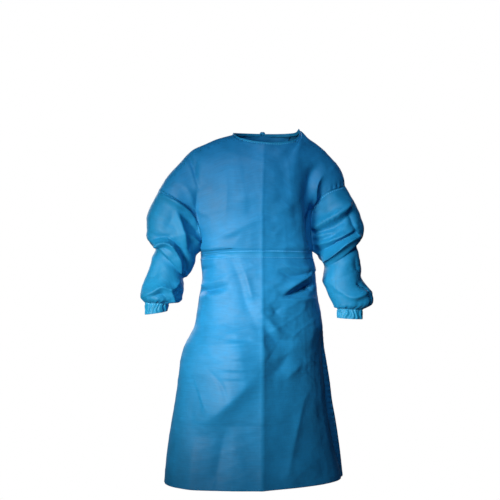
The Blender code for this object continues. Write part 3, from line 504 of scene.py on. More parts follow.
SLEEVE_CREASES = {
    (FRONT, RIGHT): (
        (0.007, 0.015, 1.5, (-0.3076, -0.1945, -0.006), (-0.27, -0.2161, -0.021),
         (-0.2264, -0.2447, -0.024), (-0.1942, -0.2736, -0.014)),
        (0.01, 0.011, 1.5, (-0.2659, -0.245, -0.004), (-0.2537, -0.2855, -0.017),
         (-0.2427, -0.326, -0.018), (-0.2293, -0.3724, -0.004)),
        (0.0064, 0.0096, 1.2, (-0.2496, -0.2611, 0.0), (-0.2176, -0.2853, 0.009),
         (-0.1925, -0.3131, 0.008)),
        (0.006, 0.01, 1.4, (-0.2427, -0.3231, -0.004), (-0.2135, -0.3294, -0.012),
         (-0.1901, -0.3445, -0.01)),
        (0.006, 0.011, 1.1, (-0.296, -0.3296, 0.004), (-0.2613, -0.3527, 0.013),
         (-0.2392, -0.384, 0.016), (-0.2223, -0.4189, 0.014), (-0.2194, -0.445, 0.006)),
        (0.016, 0.006, 1.1, (-0.3479, -0.3482, 0.0), (-0.3249, -0.3343, 0.009),
         (-0.2845, -0.3296, 0.005)),
        (0.006, 0.008, 1.3, (-0.3537, -0.3551, -0.003), (-0.3295, -0.362, -0.015),
         (-0.2989, -0.3516, -0.016), (-0.274, -0.3655, -0.008)),
        (0.004, 0.009, 1.2, (-0.3295, -0.3713, 0.003), (-0.3076, -0.3643, 0.006),
         (-0.2874, -0.3713, 0.002)),
        (0.008, 0.014, 1.4, (-0.2758, -0.3637, -0.01), (-0.2555, -0.4014, -0.015),
         (-0.245, -0.442, -0.006)),
        (0.0056, 0.0048, 1.3, (-0.2461, -0.384, 0.0), (-0.2345, -0.4188, 0.007),
         (-0.2333, -0.4536, 0.004)),
        (0.016, 0.016, 1.5, (-0.2584, -0.2276, 0.0), (-0.2845, -0.2856, 0.005),
         (-0.3076, -0.3146, 0.0)),
        (0.0192, 0.0176, 1.6, (-0.3134, -0.3897, 0.0), (-0.3278, -0.4417, 0.006),
         (-0.3583, -0.4877, 0.004)),
        (0.012, 0.006, 1.3, (-0.3721, -0.5221, -0.004), (-0.3364, -0.5063, -0.011),
         (-0.3105, -0.4937, -0.013), (-0.2787, -0.5009, -0.01), (-0.2531, -0.4767, -0.006)),
        (0.005, 0.009, 1.2, (-0.3433, -0.5212, 0.0), (-0.3134, -0.5087, 0.008),
         (-0.2949, -0.5239, 0.004)),
        (0.008, 0.006, 1.4, (-0.2845, -0.5043, -0.006), (-0.2705, -0.5345, -0.008)),
    ),
    (BACK, RIGHT): (
        (0.014, 0.016, 1.15, (-0.33, -0.23, -0.0048), (-0.27, -0.285, -0.0132),
         (-0.21, -0.33, -0.0072)),
        (0.012, 0.012, 1.15, (-0.345, -0.32, -0.002), (-0.29, -0.37, -0.0144),
         (-0.225, -0.43, -0.0048)),
        (0.012, 0.01, 1.15, (-0.345, -0.345, 0.0), (-0.29, -0.35, 0.0108), (-0.23, -0.4, 0.0048)),
        (0.012, 0.012, 1.15, (-0.325, -0.27, 0.0), (-0.285, -0.32, 0.0108),
         (-0.225, -0.375, 0.0036)),
        (0.012, 0.01, 1.15, (-0.355, -0.505, -0.0048), (-0.305, -0.49, -0.0108),
         (-0.26, -0.5, -0.0048)),
        (0.018, 0.014, 1.15, (-0.3, -0.4, 0.0), (-0.305, -0.44, 0.0072), (-0.295, -0.48, 0.0)),
    ),
    (FRONT, LEFT): (
        (0.0048, 0.0064, 1.3, (0.2086, -0.1843, -0.005), (0.242, -0.1663, -0.007),
         (0.2798, -0.1493, -0.004)),
        (0.005, 0.014, 1.3, (0.2129, -0.1937, 0.004), (0.239, -0.1852, 0.004),
         (0.2664, -0.1802, 0.0)),
        (0.0096, 0.0128, 1.5, (0.239, -0.1923, 0.0), (0.242, -0.2277, -0.003),
         (0.2299, -0.2633, 0.0)),
        (0.017, 0.009, 1.3, (0.2056, -0.3, -0.016), (0.2542, -0.2702, -0.026),
         (0.3061, -0.2308, -0.018)),
        (0.007, 0.015, 1.1, (0.2007, -0.3177, 0.008), (0.2603, -0.2903, 0.016),
         (0.3092, -0.2509, 0.008)),
        (0.006, 0.006, 1.3, (0.2044, -0.3306, -0.008), (0.2359, -0.3187, -0.01),
         (0.2695, -0.3151, 0.0)),
        (0.006, 0.01, 1.1, (0.2068, -0.3412, 0.006), (0.242, -0.3305, 0.01),
         (0.2756, -0.308, 0.004)),
        (0.011, 0.007, 1.3, (0.2129, -0.3554, -0.008), (0.2603, -0.3388, -0.018),
         (0.3031, -0.3162, -0.018), (0.3276, -0.3042, -0.006)),
        (0.009, 0.009, 1.1, (0.2104, -0.3813, 0.006), (0.242, -0.3613, 0.013),
         (0.2847, -0.3352, 0.013), (0.3245, -0.3131, 0.004)),
        (0.01, 0.014, 1.3, (0.225, -0.4156, -0.018), (0.2573, -0.3849, -0.026),
         (0.2921, -0.3517, -0.026), (0.3325, -0.328, -0.018)),
        (0.008, 0.0176, 1.3, (0.3061, -0.2332, 0.0), (0.3178, -0.2687, 0.01),
         (0.3264, -0.3042, 0.008)),
        (0.0112, 0.008, 1.4, (0.242, -0.4109, 0.002), (0.2299, -0.4463, 0.006),
         (0.225, -0.4758, 0.0)),
        (0.0096, 0.0192, 1.5, (0.3307, -0.3754, 0.0), (0.3307, -0.4229, 0.006),
         (0.3491, -0.4646, 0.002)),
        (0.0144, 0.0072, 1.5, (0.2603, -0.4996, -0.004), (0.3031, -0.5272, -0.008),
         (0.3399, -0.5227, -0.009), (0.3781, -0.5034, -0.006)),
        (0.008, 0.008, 1.2, (0.3325, -0.4835, 0.006), (0.3584, -0.4991, 0.008),
         (0.3719, -0.5242, 0.004)),
    ),
    (BACK, LEFT): (
        (0.016, 0.014, 1.15, (0.335, -0.23, -0.0048), (0.275, -0.285, -0.0132),
         (0.215, -0.33, -0.0072)),
        (0.012, 0.012, 1.15, (0.35, -0.315, -0.0096), (0.295, -0.35, -0.0144),
         (0.235, -0.4, -0.0048)),
        (0.01, 0.012, 1.15, (0.35, -0.34, 0.0048), (0.3, -0.375, 0.0108), (0.245, -0.415, 0.0048)),
        (0.012, 0.012, 1.15, (0.33, -0.265, 0.0), (0.29, -0.315, 0.0108), (0.23, -0.365, 0.0036)),
        (0.01, 0.012, 1.15, (0.37, -0.52, -0.0048), (0.32, -0.508, -0.0108),
         (0.27, -0.515, -0.0048)),
        (0.014, 0.018, 1.15, (0.31, -0.41, 0.0), (0.315, -0.45, 0.0072), (0.3, -0.49, 0.0)),
    ),
}

# The skirt hangs calmer below this height, by this share, fully after this drop
CALM_BELOW = -0.68
CALM = 0.6
CALM_DROP = 0.20

# Crumples: how much of the way back counts as way across, the length and height of the
# broad swell, then for each kind its length across and down the cloth, the slope of its
# run and its height, how sharp they are, and where each starts in its table of noise
DEPTH_ACROSS = 0.6
SWELL_ACROSS = 0.11
SWELL_DOWN = 0.15
SWELL_HEIGHT = 0.0020
SWELL_START = (20, 30)
CRUMPLES = (
    (0.075, 0.030, 0.0, 0.0007),
    (0.110, 0.045, 0.45, 0.0012),
    (0.090, 0.050, -0.55, 0.0011),
    (0.040, 0.160, 0.10, 0.0005),
)
CRUMPLE_SHARPNESS = 2.4
CRUMPLE_START = 40
CRUMPLE_SHIFT = 9
NOISE_SIDE = 64

# Seeds of the noise: body (the back's is 2 higher), sleeves and pleats (one to each side)
BODY_SEED = 3
SLEEVE_SEED = 20
PLEAT_SEED = 50

# Folds fade over these shares of the body and of a sleeve towards their edges. Corners of
# the top edge spread into the cloth below and fade. A sleeve's folds are laid on along Y,
# and fade where the sleeve doesn't face that way
FOLD_RIM = 0.075
SLEEVE_FOLD_RIM = 0.030
CORNER_SPREAD = 0.26
CORNER_FADE = 0.55
FACING_GAIN = 1.6


def through(knots, values, at):
    """A smooth curve through the rows of a table, read at any place along it."""
    knots = np.asarray(knots, float)
    values = np.asarray(values, float)
    at = np.clip(at, knots[0], knots[-1])
    slopes = np.gradient(values, knots)
    cell = np.clip(np.searchsorted(knots, at, side="right") - 1, 0, len(knots) - 2)
    width = knots[cell + 1] - knots[cell]
    t = (at - knots[cell]) / width
    rise = 3 * t**2 - 2 * t**3
    lead = (t - 2 * t**2 + t**3) * width
    trail = (t**3 - t**2) * width
    start, end = values[cell], values[cell + 1]
    return start + (end - start) * rise + slopes[cell] * lead + slopes[cell + 1] * trail


def column(rows, name):
    """One named value of every row of a table."""
    return [getattr(row, name) for row in rows]


def eased(value):
    """A smooth step from 0 to 1."""
    value = np.clip(value, 0.0, 1.0)
    return value * value * (3 - 2 * value)


def unit(vectors):
    """Vectors at length 1."""
    return vectors / np.maximum(np.linalg.norm(vectors, axis=-1, keepdims=True), TINY)


def run_along(points):
    """Length of a path up to each of its points."""
    return np.concatenate([[0.0], np.linalg.norm(np.diff(points, axis=0), axis=-1).cumsum()])


def along_outline(rows, share):
    """The point at a share of an outline's length, as x and z."""
    x, z = np.array(column(rows, "out")), np.array(column(rows, "height"))
    run = np.concatenate([[0.0], np.cumsum(np.hypot(np.diff(x), np.diff(z)))])
    return through(run / run[-1], x, share), through(run / run[-1], z, share)


def body_section(side, across, height):
    """A point of the body below the underarm, from the section at that height."""
    knots = column(BODY_SECTIONS, "height")
    half = through(knots, column(BODY_SECTIONS, "half_width"), height)
    depth = through(knots, column(BODY_SECTIONS, "front" if side == FRONT else "back"), height)
    shift = through(knots, column(BODY_SECTIONS, "shift"), height)
    turn = across * math.pi / 2
    out = np.sign(turn) * np.abs(np.sin(turn)) ** (2 / SQUARENESS)
    reach = np.abs(np.cos(turn)) ** (2 / SQUARENESS)
    return shift + half * out, side * depth * reach, height


def neck_point(side, across):
    """A point of the neck opening: -1 is the wearer's right, 1 the left."""
    turn = across * math.pi / 2
    share = np.abs(np.cos(turn))
    out = np.sin(turn)
    x = NECK_CENTRE + NECK_HALF_WIDTH * out
    y = NECK_MIDDLE + side * NECK_DEPTH[side] * share
    side_height = np.interp(out, (-1, 1), (SHOULDER[RIGHT][0].height, SHOULDER[LEFT][0].height))
    z = side_height + (NECK_HEIGHT[side] - side_height) * share**NECK_SWEEP
    peak = NECK_PEAK_HEIGHT * np.exp(-(((turn - math.pi / 2) / NECK_PEAK_SPREAD) ** 2))
    return x, y, z + peak


def top_edge(side, across):
    """Top of a panel: the shoulder line on both sides of the neck opening."""
    x, y, z = neck_point(side, np.clip(across / NECK_SHARE, -1, 1))
    for arm in (RIGHT, LEFT):
        share = (across * arm - NECK_SHARE) / (1 - NECK_SHARE)
        on_shoulder = share > 0
        out, height = along_outline(SHOULDER[arm], np.clip(share, 0, 1))
        lift = z - SHOULDER[arm][0].height
        fade = 1 - eased(share / NECK_TO_SHOULDER)
        x = np.where(on_shoulder, out, x)
        y = np.where(on_shoulder, NECK_MIDDLE * (1 - np.clip(share, 0, 1)), y)
        z = np.where(on_shoulder, height + lift * fade, z)
    return x, y, z


def armhole_bulge(side, arm, share):
    """How far the armhole's edge stands forward or back, at a share of its height."""
    reach = 1 - np.abs(2 * share - 1) ** ARMHOLE_SQUARENESS
    tuck = ARMHOLE_TUCK[side, arm] * eased((TUCK_TOP - share) / TUCK_FADE)
    return side * ARM_BULGE[side] * reach ** (1 / ARMHOLE_SQUARENESS) * (1 - tuck)


def even_top(side, across, share):
    """The top edge as the cloth below it hangs: its corners fade with the distance."""
    reach = CORNER_SPREAD * np.maximum(1 - share, 0) ** CORNER_FADE
    reach = np.minimum(reach, 1 - np.abs(across))
    offsets = np.linspace(-1, 1, CORNER_SAMPLES)
    samples = [top_edge(side, across + off * reach) for off in offsets]
    return [sum(sample[i] for sample in samples) / len(samples) for i in range(3)]


def above_underarm(side, across, share):
    """A point of the body above the underarm, between the armholes and the shoulders."""
    low = body_section(side, across, UNDERARM - SIDE_DROP * across**2)
    top = even_top(side, across, share)
    x = low[0] * (1 - share) + top[0] * share
    z = low[2] * (1 - share) + top[2] * share
    for arm in (RIGHT, LEFT):
        rows = ARMHOLE[side, arm]
        edge_x, edge_z = along_outline(rows, share)
        nearness = (1 + arm * across) / 2
        x = x + nearness * (edge_x - rows[0].out - (rows[-1].out - rows[0].out) * share)
        rise = rows[-1].height - rows[0].height
        z = z + nearness * (edge_z - rows[0].height - rise * share)
    over = 1 - (1 - share ** ROLL[side]) ** (1 / ROLL[side])
    over = over + (share**2 - over) * (1 - eased(np.abs(across) / NECK_SHARE))
    y = low[1] * (1 - over) + top[1] * over
    for arm in (RIGHT, LEFT):
        y = y + armhole_bulge(side, arm, share) * np.maximum(arm * across, 0) ** ARM_BULGE_POWER
    y = y + side * CHEST_BULGE[side] * np.sin(math.pi * share) * (1 - across**2)
    return x, y, z


def body_base(side, across, up):
    """The body without folds: up runs from -1 at the hem over 0 at the underarm to 1."""
    height = HEM + (UNDERARM - HEM) * (np.minimum(up, 0) + 1)
    fade = (height - HEM) / (UNDERARM - HEM)
    low = body_section(side, across, height - SIDE_DROP * across**2 * fade)
    share = (1 - np.cos(math.pi * np.clip(up, 0, 1))) / 2
    high = above_underarm(side, across, share)
    return np.stack([np.where(up <= 0, a, b) for a, b in zip(low, high)], axis=-1)


def crease_rise(creases, points):
    """Height of all these creases at these points, as seen along Y."""
    x, z = points[..., 0], points[..., 2]
    total = np.zeros(x.shape)
    for left, right, crisp, *path in creases:
        path = np.array(path)
        knots = np.linspace(0, 1, len(path))
        shares = np.linspace(0, 1, CREASE_STEPS + 1)
        xs, zs = through(knots, path[:, 0], shares), through(knots, path[:, 1], shares)
        nearest = np.full(x.shape, np.inf)
        place = np.zeros(x.shape)
        beside = np.zeros(x.shape)
        for i in range(CREASE_STEPS):
            run_x, run_z = xs[i + 1] - xs[i], zs[i + 1] - zs[i]
            length = math.hypot(run_x, run_z)
            off_x, off_z = x - xs[i], z - zs[i]
            t = np.clip((off_x * run_x + off_z * run_z) / length**2, 0, 1)
            gap = np.hypot(off_x - t * run_x, off_z - t * run_z)
            closer = gap < nearest
            nearest = np.where(closer, gap, nearest)
            place = np.where(closer, (i + t) / CREASE_STEPS, place)
            beside = np.where(closer, run_x * off_z - run_z * off_x, beside)
        width = np.where(beside > 0, left, right)
        total += through(knots, path[:, 2], place) * np.exp(-((nearest / width) ** crisp))
    return total


def lattice(seed):
    """A table of noise, the same each run."""
    return np.random.default_rng(seed).uniform(-1, 1, (NOISE_SIDE, NOISE_SIDE))


def ripple(across, down, grid):
    """Smooth noise in two directions, from a table that repeats."""
    i, j = np.floor(across).astype(int), np.floor(down).astype(int)
    s, t = eased(across - i), eased(down - j)
    i, j, beyond, below = (place % NOISE_SIDE for place in (i, j, i + 1, j + 1))
    here = grid[i, j] * (1 - s) + grid[beyond, j] * s
    next_row = grid[i, below] * (1 - s) + grid[beyond, below] * s
    return here * (1 - t) + next_row * t


def crumple(points, seed):
    """Small wrinkles of a stiff light cloth: sharp where the noise changes sign."""
    span = points[..., 0] + DEPTH_ACROSS * points[..., 1]
    down = points[..., 2]
    swell_x, swell_z = span / SWELL_ACROSS + SWELL_START[0], down / SWELL_DOWN + SWELL_START[1]
    total = SWELL_HEIGHT * ripple(swell_x, swell_z, lattice(seed))
    for index, (wide, tall, slope, size) in enumerate(CRUMPLES):
        a = (span + slope * down) / wide + CRUMPLE_SHIFT * index
        b = (down - slope * span) / tall + CRUMPLE_START
        ridge = 1 - np.abs(ripple(a, b, lattice(seed + index + 1))) * CRUMPLE_SHARPNESS
        total += size * np.maximum(ridge, 0)
    return total * (1 - CALM * eased((CALM_BELOW - down) / CALM_DROP))


def crease_x(height):
    """Where the centre crease runs, at each height."""
    _, _, _, *path = BODY_CREASES[FRONT][0]
    path = np.array(path)[::-1]
    return through(path[:, 1], path[:, 0], height)


def to_centre_crease(side, across, up):
    """Moves the grid's middle column onto the centre crease of the front."""
    if side == BACK:
        return across
    middle = body_base(side, 0.0 * up, up)
    left, right = (body_base(side, 0.0 * up + step, up) for step in (SIDE_STEP, -SIDE_STEP))
    pace = (left - right)[..., 0] / (2 * SIDE_STEP)
    shift = (crease_x(middle[..., 2]) - middle[..., 0]) / pace
    return across + shift * (1 - across**2)


def body_point(side, across, up, lift=0.0):
    """The body's cloth with its creases, moved out by lift."""
    across, up = np.broadcast_arrays(np.asarray(across, float), np.asarray(up, float))
    base = body_base(side, across, up)
    low_a, high_a = np.clip(across - PROBE, -1, 1), np.clip(across + PROBE, -1, 1)
    low_u, high_u = np.clip(up - PROBE, -1, 1), np.clip(up + PROBE, -1, 1)
    over = body_base(side, high_a, up) - body_base(side, low_a, up)
    onward = body_base(side, across, high_u) - body_base(side, across, low_u)
    normal = unit(np.cross(over, onward) * -side)
    rim = eased((1 - np.abs(across)) / FOLD_RIM) * eased((1 - up) / FOLD_RIM)
    rise = crease_rise(BODY_CREASES[side], base) + crumple(base, BODY_SEED + side)
    return base + normal * (rise * rim + lift)[..., None]


def up_of(height):
    """The body's parameter for a height below the underarm."""
    return (height - HEM) / (UNDERARM - HEM) - 1


def front_up_of(height, side=FRONT):
    """The body's parameter for a height at the centre, above the underarm."""
    share = (height - UNDERARM) / (NECK_HEIGHT[side] - UNDERARM)
    return math.acos(1 - 2 * share) / math.pi


def rows_through(anchors, counts):
    """Rows that pass through each anchor, with a count of steps between each two."""
    rows = [np.linspace(a, b, n, endpoint=False) for a, b, n in zip(anchors, anchors[1:], counts)]
    return np.concatenate([*rows, [anchors[-1]]])


def body_ups():
    """Rows of the body's grid, with one on each level fold and on the belt's edges."""
    low = [up_of(height) for height in ROW_HEIGHTS]
    return rows_through([-1.0, *low, 0.0, front_up_of(CHEST_FOLD), 1.0], ROW_STEPS)


def layer_lift(arm, across):
    """At centre back one layer lies on the other: the left one is the outer."""
    start, run = LAYER_FADE
    return arm * LAYER_LIFT * (1 - eased((across * arm - start) / run))


def armhole_point(arm, turn):
    """The armhole's loop: turn 0 is its top, and the front half comes first."""
    share = (1 + np.cos(turn)) / 2
    across = np.full(np.shape(turn), float(arm))
    front = above_underarm(FRONT, across, share)
    back = above_underarm(BACK, across, share)
    first = np.sin(turn) > 0
    return np.stack([np.where(first, a, b) for a, b in zip(front, back)], axis=-1)


def ring_point(ring, turn):
    """A point of a sleeve's ring: turn 0 is its outer edge, and the front comes first."""
    outer = np.array([ring.outer_x, 0.0, ring.outer_z])
    inner = np.array([ring.inner_x, 0.0, ring.inner_z])
    middle = (outer + inner) / 2 + np.array([0.0, ring.middle_y, 0.0])
    swing = np.cos(turn)[..., None] * (outer - inner) / 2
    depth = np.sin(turn)[..., None] * np.array([0.0, FRONT * ring.half_depth, 0.0])
    return middle + swing + depth


def sleeve_base(arm, along, turn):
    """The sleeve without folds: along runs from 0 at the armhole to 1 at the cuff."""
    rings = SLEEVE_RINGS[arm]
    table = np.array(rings)
    middles = np.stack([table[:, 0] + table[:, 2], table[:, 1] + table[:, 3]], axis=-1) / 2
    run = run_along(middles)
    at = SleeveRing(*(through(run / run[-1], values, along) for values in table.T))
    outer = np.stack([at.outer_x, at.middle_y, at.outer_z], axis=-1)
    inner = np.stack([at.inner_x, at.middle_y, at.inner_z], axis=-1)
    points = (outer + inner) / 2 + np.cos(turn)[..., None] * (outer - inner) / 2
    points[..., 1] += FRONT * at.half_depth * np.sin(turn)
    blend = 1 - eased(along / SLEEVE_BLEND)
    return points + blend[..., None] * (armhole_point(arm, turn) - ring_point(rings[0], turn))


def gathering(turn, seed):
    """Uneven pleats round a cuff, from waves whose places are seeded."""
    places = np.random.default_rng(seed).uniform(0, 2 * math.pi, len(PLEATS))
    return sum(size * np.cos(count * turn + place) for (count, size), place in zip(PLEATS, places))


def sleeve_point(arm, along, turn):
    """The sleeve's cloth with its creases and its gathers above the cuff."""
    along, turn = np.broadcast_arrays(np.asarray(along, float), np.asarray(turn, float))
    base = sleeve_base(arm, along, turn)
    over = sleeve_base(arm, along, turn + PROBE) - sleeve_base(arm, along, turn - PROBE)
    ahead, behind = np.clip(along + PROBE, 0, 1), np.clip(along - PROBE, 0, 1)
    onward = sleeve_base(arm, ahead, turn) - sleeve_base(arm, behind, turn)
    normal = unit(np.cross(over, onward) * -arm)
    rim = eased(along / SLEEVE_FOLD_RIM) * eased((1 - along) / SLEEVE_FOLD_RIM)
    facing = eased(np.abs(normal[..., 1]) * FACING_GAIN)
    front, back = (crease_rise(SLEEVE_CREASES[side, arm], base) for side in (FRONT, BACK))
    rise = np.where(np.sin(turn) > 0, front, back) * facing + crumple(base, SLEEVE_SEED + arm)
    growth = eased((along - GATHER_START) / GATHER_RUN)
    gathers = GATHER_DEPTH * gathering(turn, PLEAT_SEED + arm) * growth
    return base + normal * (rise * rim + gathers)[..., None]


def cuff_point(arm, along, turn):
    """The cuff: gathered by its elastic, from the sleeve's end to the wrist edge."""
    along, turn = np.broadcast_arrays(np.asarray(along, float), np.asarray(turn, float))
    top = ring_point(SLEEVE_RINGS[arm][-1], turn)
    end = ring_point(CUFF_END[arm], turn)
    points = top + (end - top) * along[..., None]
    spoke = unit(points - points.mean(axis=0, keepdims=True))
    size, down, across = PLEAT_SWAY
    sway = size * np.sin(down * along + across * turn)
    fullness = 1 + PLEAT_SWELL * np.sin(math.pi * along)
    pleat = GATHER_DEPTH * gathering(turn + sway, PLEAT_SEED + arm) * fullness
    hollow, place, width = ELASTIC
    elastic = -hollow * np.exp(-(((along - place) / width) ** 2))
    return points + spoke * (pleat + elastic)[..., None]


def linear(hex_colour):
    """An sRGB hex colour as linear values."""
    parts = [int(hex_colour[i : i + 2], 16) / 255 for i in (1, 3, 5)]
    return [p / 12.92 if p <= 0.04045 else ((p + 0.055) / 1.055) ** 2.4 for p in parts]


def add_node(tree, kind, settings=(), values=(), links=()):
    """One shader node with its settings, its socket values and its incoming links."""
    node = tree.nodes.new(kind)
    for name, value in settings:
        setattr(node, name, value)
    for name, value in values:
        node.inputs[name].default_value = value
    for name, source in links:
        tree.links.new(source, node.inputs[name])
    return node


def nonwoven(name, hex_colour, roughness=0.56, welds=()):
    """Spunbond polypropylene nonwoven: continuous fibres pressed together at small dots.

    It gives the eye a soft waxy sheen, a faint grain of dots and fibres, and cloudy
    patches where the web of fibres is thicker. Rows of pressed weld marks run along a
    seam at each distance from it named in welds. They are drawn lighter: partly the pressed
    film's own tone, partly painted highlight.
    """
    material = bpy.data.materials.new(name)
    material.use_nodes = True
    tree = material.node_tree
    shader = tree.nodes["Principled BSDF"]
    shader.inputs["IOR"].default_value = 1.49
    shader.inputs["Specular IOR Level"].default_value = 0.36
    shader.inputs["Sheen Weight"].default_value = 0.02
    shader.inputs["Sheen Roughness"].default_value = 0.4
    place = add_node(tree, "ShaderNodeTexCoord")
    # Clouds of thicker and thinner web are some 6 cm across
    cloudy = add_node(
        tree,
        "ShaderNodeTexNoise",
        values=(("Scale", 16.0), ("Detail", 4.0), ("Roughness", 0.6)),
        links=(("Vector", place.outputs["Object"]),),
    )
    wax = add_node(
        tree,
        "ShaderNodeMapRange",
        values=(("To Min", roughness - SMOOTHER), ("To Max", roughness + ROUGHER)),
        links=(("Value", cloudy.outputs["Fac"]),),
    )
    tree.links.new(wax.outputs["Result"], shader.inputs["Roughness"])
    # Fibres run mostly along the web; streaks are drawn 4 mm apart, real ones are finer
    stretched = add_node(
        tree,
        "ShaderNodeMapping",
        values=(("Scale", (18.0, 250.0, 1.0)),),
        links=(("Vector", place.outputs["UV"]),),
    )
    fibres = add_node(
        tree,
        "ShaderNodeTexNoise",
        values=(("Scale", 1.0), ("Detail", 3.0), ("Roughness", 0.7)),
        links=(("Vector", stretched.outputs["Vector"]),),
    )
    web = add_node(
        tree,
        "ShaderNodeMix",
        values=(("Factor", 0.45),),
        links=(("A", cloudy.outputs["Fac"]), ("B", fibres.outputs["Fac"])),
    )
    shades = add_node(tree, "ShaderNodeValToRGB", links=(("Fac", web.outputs["Result"]),))
    colour = np.array(linear(hex_colour))
    for stop, (position, share) in zip(shades.color_ramp.elements, SHADES):
        stop.position = position
        stop.color = (*np.minimum(colour * share, 1.0), 1.0)
    # Weld marks are 2 mm apart on a real seam and drawn 8 mm apart to show. The web is
    # pressed to a film there, and the marks are drawn lighter: partly that film's own tone,
    # partly painted highlight for the light that the belt's edges and the seams' gathers catch
    split = add_node(tree, "ShaderNodeSeparateXYZ", links=(("Vector", place.outputs["UV"]),))
    shade = shades.outputs["Color"]
    pressed = []
    for distance in welds:
        row = add_node(
            tree,
            "ShaderNodeMath",
            settings=(("operation", "COMPARE"),),
            values=((1, distance), (2, WELD_HALF_WIDTH)),
            links=((0, split.outputs["Y"]),),
        )
        turns = add_node(
            tree,
            "ShaderNodeMath",
            settings=(("operation", "MULTIPLY"),),
            values=((1, 2 * math.pi / WELD_PITCH),),
            links=((0, split.outputs["X"]),),
        )
        wave = add_node(
            tree,
            "ShaderNodeMath",
            settings=(("operation", "SINE"),),
            links=((0, turns.outputs["Value"]),),
        )
        dash = add_node(
            tree,
            "ShaderNodeMath",
            settings=(("operation", "GREATER_THAN"),),
            values=((1, WELD_LEVEL),),
            links=((0, wave.outputs["Value"]),),
        )
        marks = add_node(
            tree,
            "ShaderNodeMath",
            settings=(("operation", "MULTIPLY"),),
            links=((0, row.outputs["Value"]), (1, dash.outputs["Value"])),
        )
        # Painted highlight: the weld marks are mixed towards a lighter colour, which is partly the
        # pressed film's own tone
        painted_weld_highlight = add_node(
            tree,
            "ShaderNodeMix",
            settings=(("data_type", "RGBA"),),
            values=((7, (*np.minimum(colour * WELD_HIGHLIGHT_GAIN + WELD_HIGHLIGHT_HAZE, 1.0), 1.0)),),
            links=((0, marks.outputs["Value"]), (6, shade)),
        )
        shade = painted_weld_highlight.outputs[2]
        pressed.append(marks.outputs["Value"])
    tree.links.new(shade, shader.inputs["Base Color"])
    # Bond dots are pressed 2 mm apart on the real web and drawn 5 mm apart to show
    waves = []
    for axis in ("X", "Y"):
        turns = add_node(
            tree,
            "ShaderNodeMath",
            settings=(("operation", "MULTIPLY"),),
            values=((1, 2 * math.pi / DOT_PITCH),),
            links=((0, split.outputs[axis]),),
        )
        waves.append(
            add_node(
                tree,
                "ShaderNodeMath",
                settings=(("operation", "SINE"),),
                links=((0, turns.outputs["Value"]),),
            )
        )
    dots = add_node(
        tree,
        "ShaderNodeMath",
        settings=(("operation", "MULTIPLY"),),
        links=((0, waves[0].outputs["Value"]), (1, waves[1].outputs["Value"])),
    )
    # Crinkles from the packing are some 3 cm across and finer
    crinkle = add_node(
        tree,
        "ShaderNodeTexNoise",
        values=(("Scale", 34.0), ("Detail", 6.0), ("Roughness", 0.62), ("Distortion", 0.4)),
        links=(("Vector", place.outputs["Object"]),),
    )
    # The stiff web keeps sharp little creases here and there, some 10 cm apart
    creases = add_node(
        tree,
        "ShaderNodeTexNoise",
        settings=(("noise_type", "RIDGED_MULTIFRACTAL"),),
        values=(("Scale", 8.0), ("Detail", 3.0), ("Roughness", 0.5), ("Distortion", 0.7)),
        links=(("Vector", place.outputs["Object"]),),
    )
    patches = add_node(
        tree,
        "ShaderNodeTexNoise",
        values=(("Scale", 4.0), ("Detail", 1.0)),
        links=(("Vector", place.outputs["Object"]),),
    )
    worn = add_node(
        tree,
        "ShaderNodeMapRange",
        values=(("From Min", 0.40), ("From Max", 0.62), ("To Min", 0.15), ("To Max", 1.0)),
        links=(("Value", patches.outputs["Fac"]),),
    )
    height = add_node(
        tree,
        "ShaderNodeMath",
        settings=(("operation", "MULTIPLY"),),
        links=((0, creases.outputs["Fac"]), (1, worn.outputs["Result"])),
    )
    # Each relief lies on the one before: its height, how strong and how deep it is, and
    # whether it goes inwards
    reliefs = [
        (crinkle.outputs["Fac"], 0.5, 0.0016, False),
        (height.outputs["Value"], 1.0, 0.0100, False),
        (fibres.outputs["Fac"], 0.3, 0.0005, False),
        (dots.outputs["Value"], 0.15, 0.0002, False),
    ]
    reliefs += [(marks, 0.8, 0.0006, True) for marks in pressed]
    below = ()
    for relief, strength, distance, inwards in reliefs:
        bump = add_node(
            tree,
            "ShaderNodeBump",
            settings=(("invert", inwards),),
            values=(("Strength", strength), ("Distance", distance)),
            links=(("Height", relief), *below),
        )
        below = (("Normal", bump.outputs["Normal"]),)
    tree.links.new(bump.outputs["Normal"], shader.inputs["Normal"])
    return material


def bent_grid(points):
    """A grid from the bmesh operator, moved onto these points, with flat cloth as its UV."""
    columns, rows = points.shape[:2]
    along = np.linalg.norm(np.diff(points, axis=0), axis=-1).cumsum(axis=0)
    along = np.concatenate([np.zeros((1, rows)), along])
    along = along - along[columns // 2]
    down = np.linalg.norm(np.diff(points, axis=1), axis=-1).cumsum(axis=1)
    down = np.concatenate([np.zeros((columns, 1)), down], axis=1)
    shape = bmesh.new()
    bmesh.ops.create_grid(shape, x_segments=columns - 1, y_segments=rows - 1, size=1.0)
    chart = shape.loops.layers.uv.new("cloth")
    place = {}
    for vert in shape.verts:
        i = round((vert.co.x + 1) / 2 * (columns - 1))
        j = round((vert.co.y + 1) / 2 * (rows - 1))
        place[vert.index] = (along[i, j], down[i, j])
        vert.co = points[i, j]
    for face in shape.faces:
        for loop in face.loops:
            loop[chart].uv = place[loop.vert.index]
    return shape


def finished(name, shape, material, node, wall=None):
    """Turns a bmesh into a piece that stands for a solid and moves with the gown."""
    mesh = bpy.data.meshes.new(name)
    shape.to_mesh(mesh)
    shape.free()
    mesh.shade_smooth()
    piece = bpy.data.objects.new(name, mesh)
    bpy.context.scene.collection.objects.link(piece)
    mesh.materials.append(material)
    if wall:
        solidify = piece.modifiers.new("Cloth thickness", "SOLIDIFY")
        solidify.thickness = wall
        solidify.offset = 0.0
    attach(piece, "root")
    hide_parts(node)
    return piece


def cloth_piece(name, points, material, node, wall=CLOTH, joined=False):
    """A finished piece of cloth on these points, joined where it closes to a tube."""
    shape = bent_grid(points)
    if joined:
        bmesh.ops.remove_doubles(shape, verts=shape.verts, dist=JOIN)
    return finished(name, shape, material, node, wall)


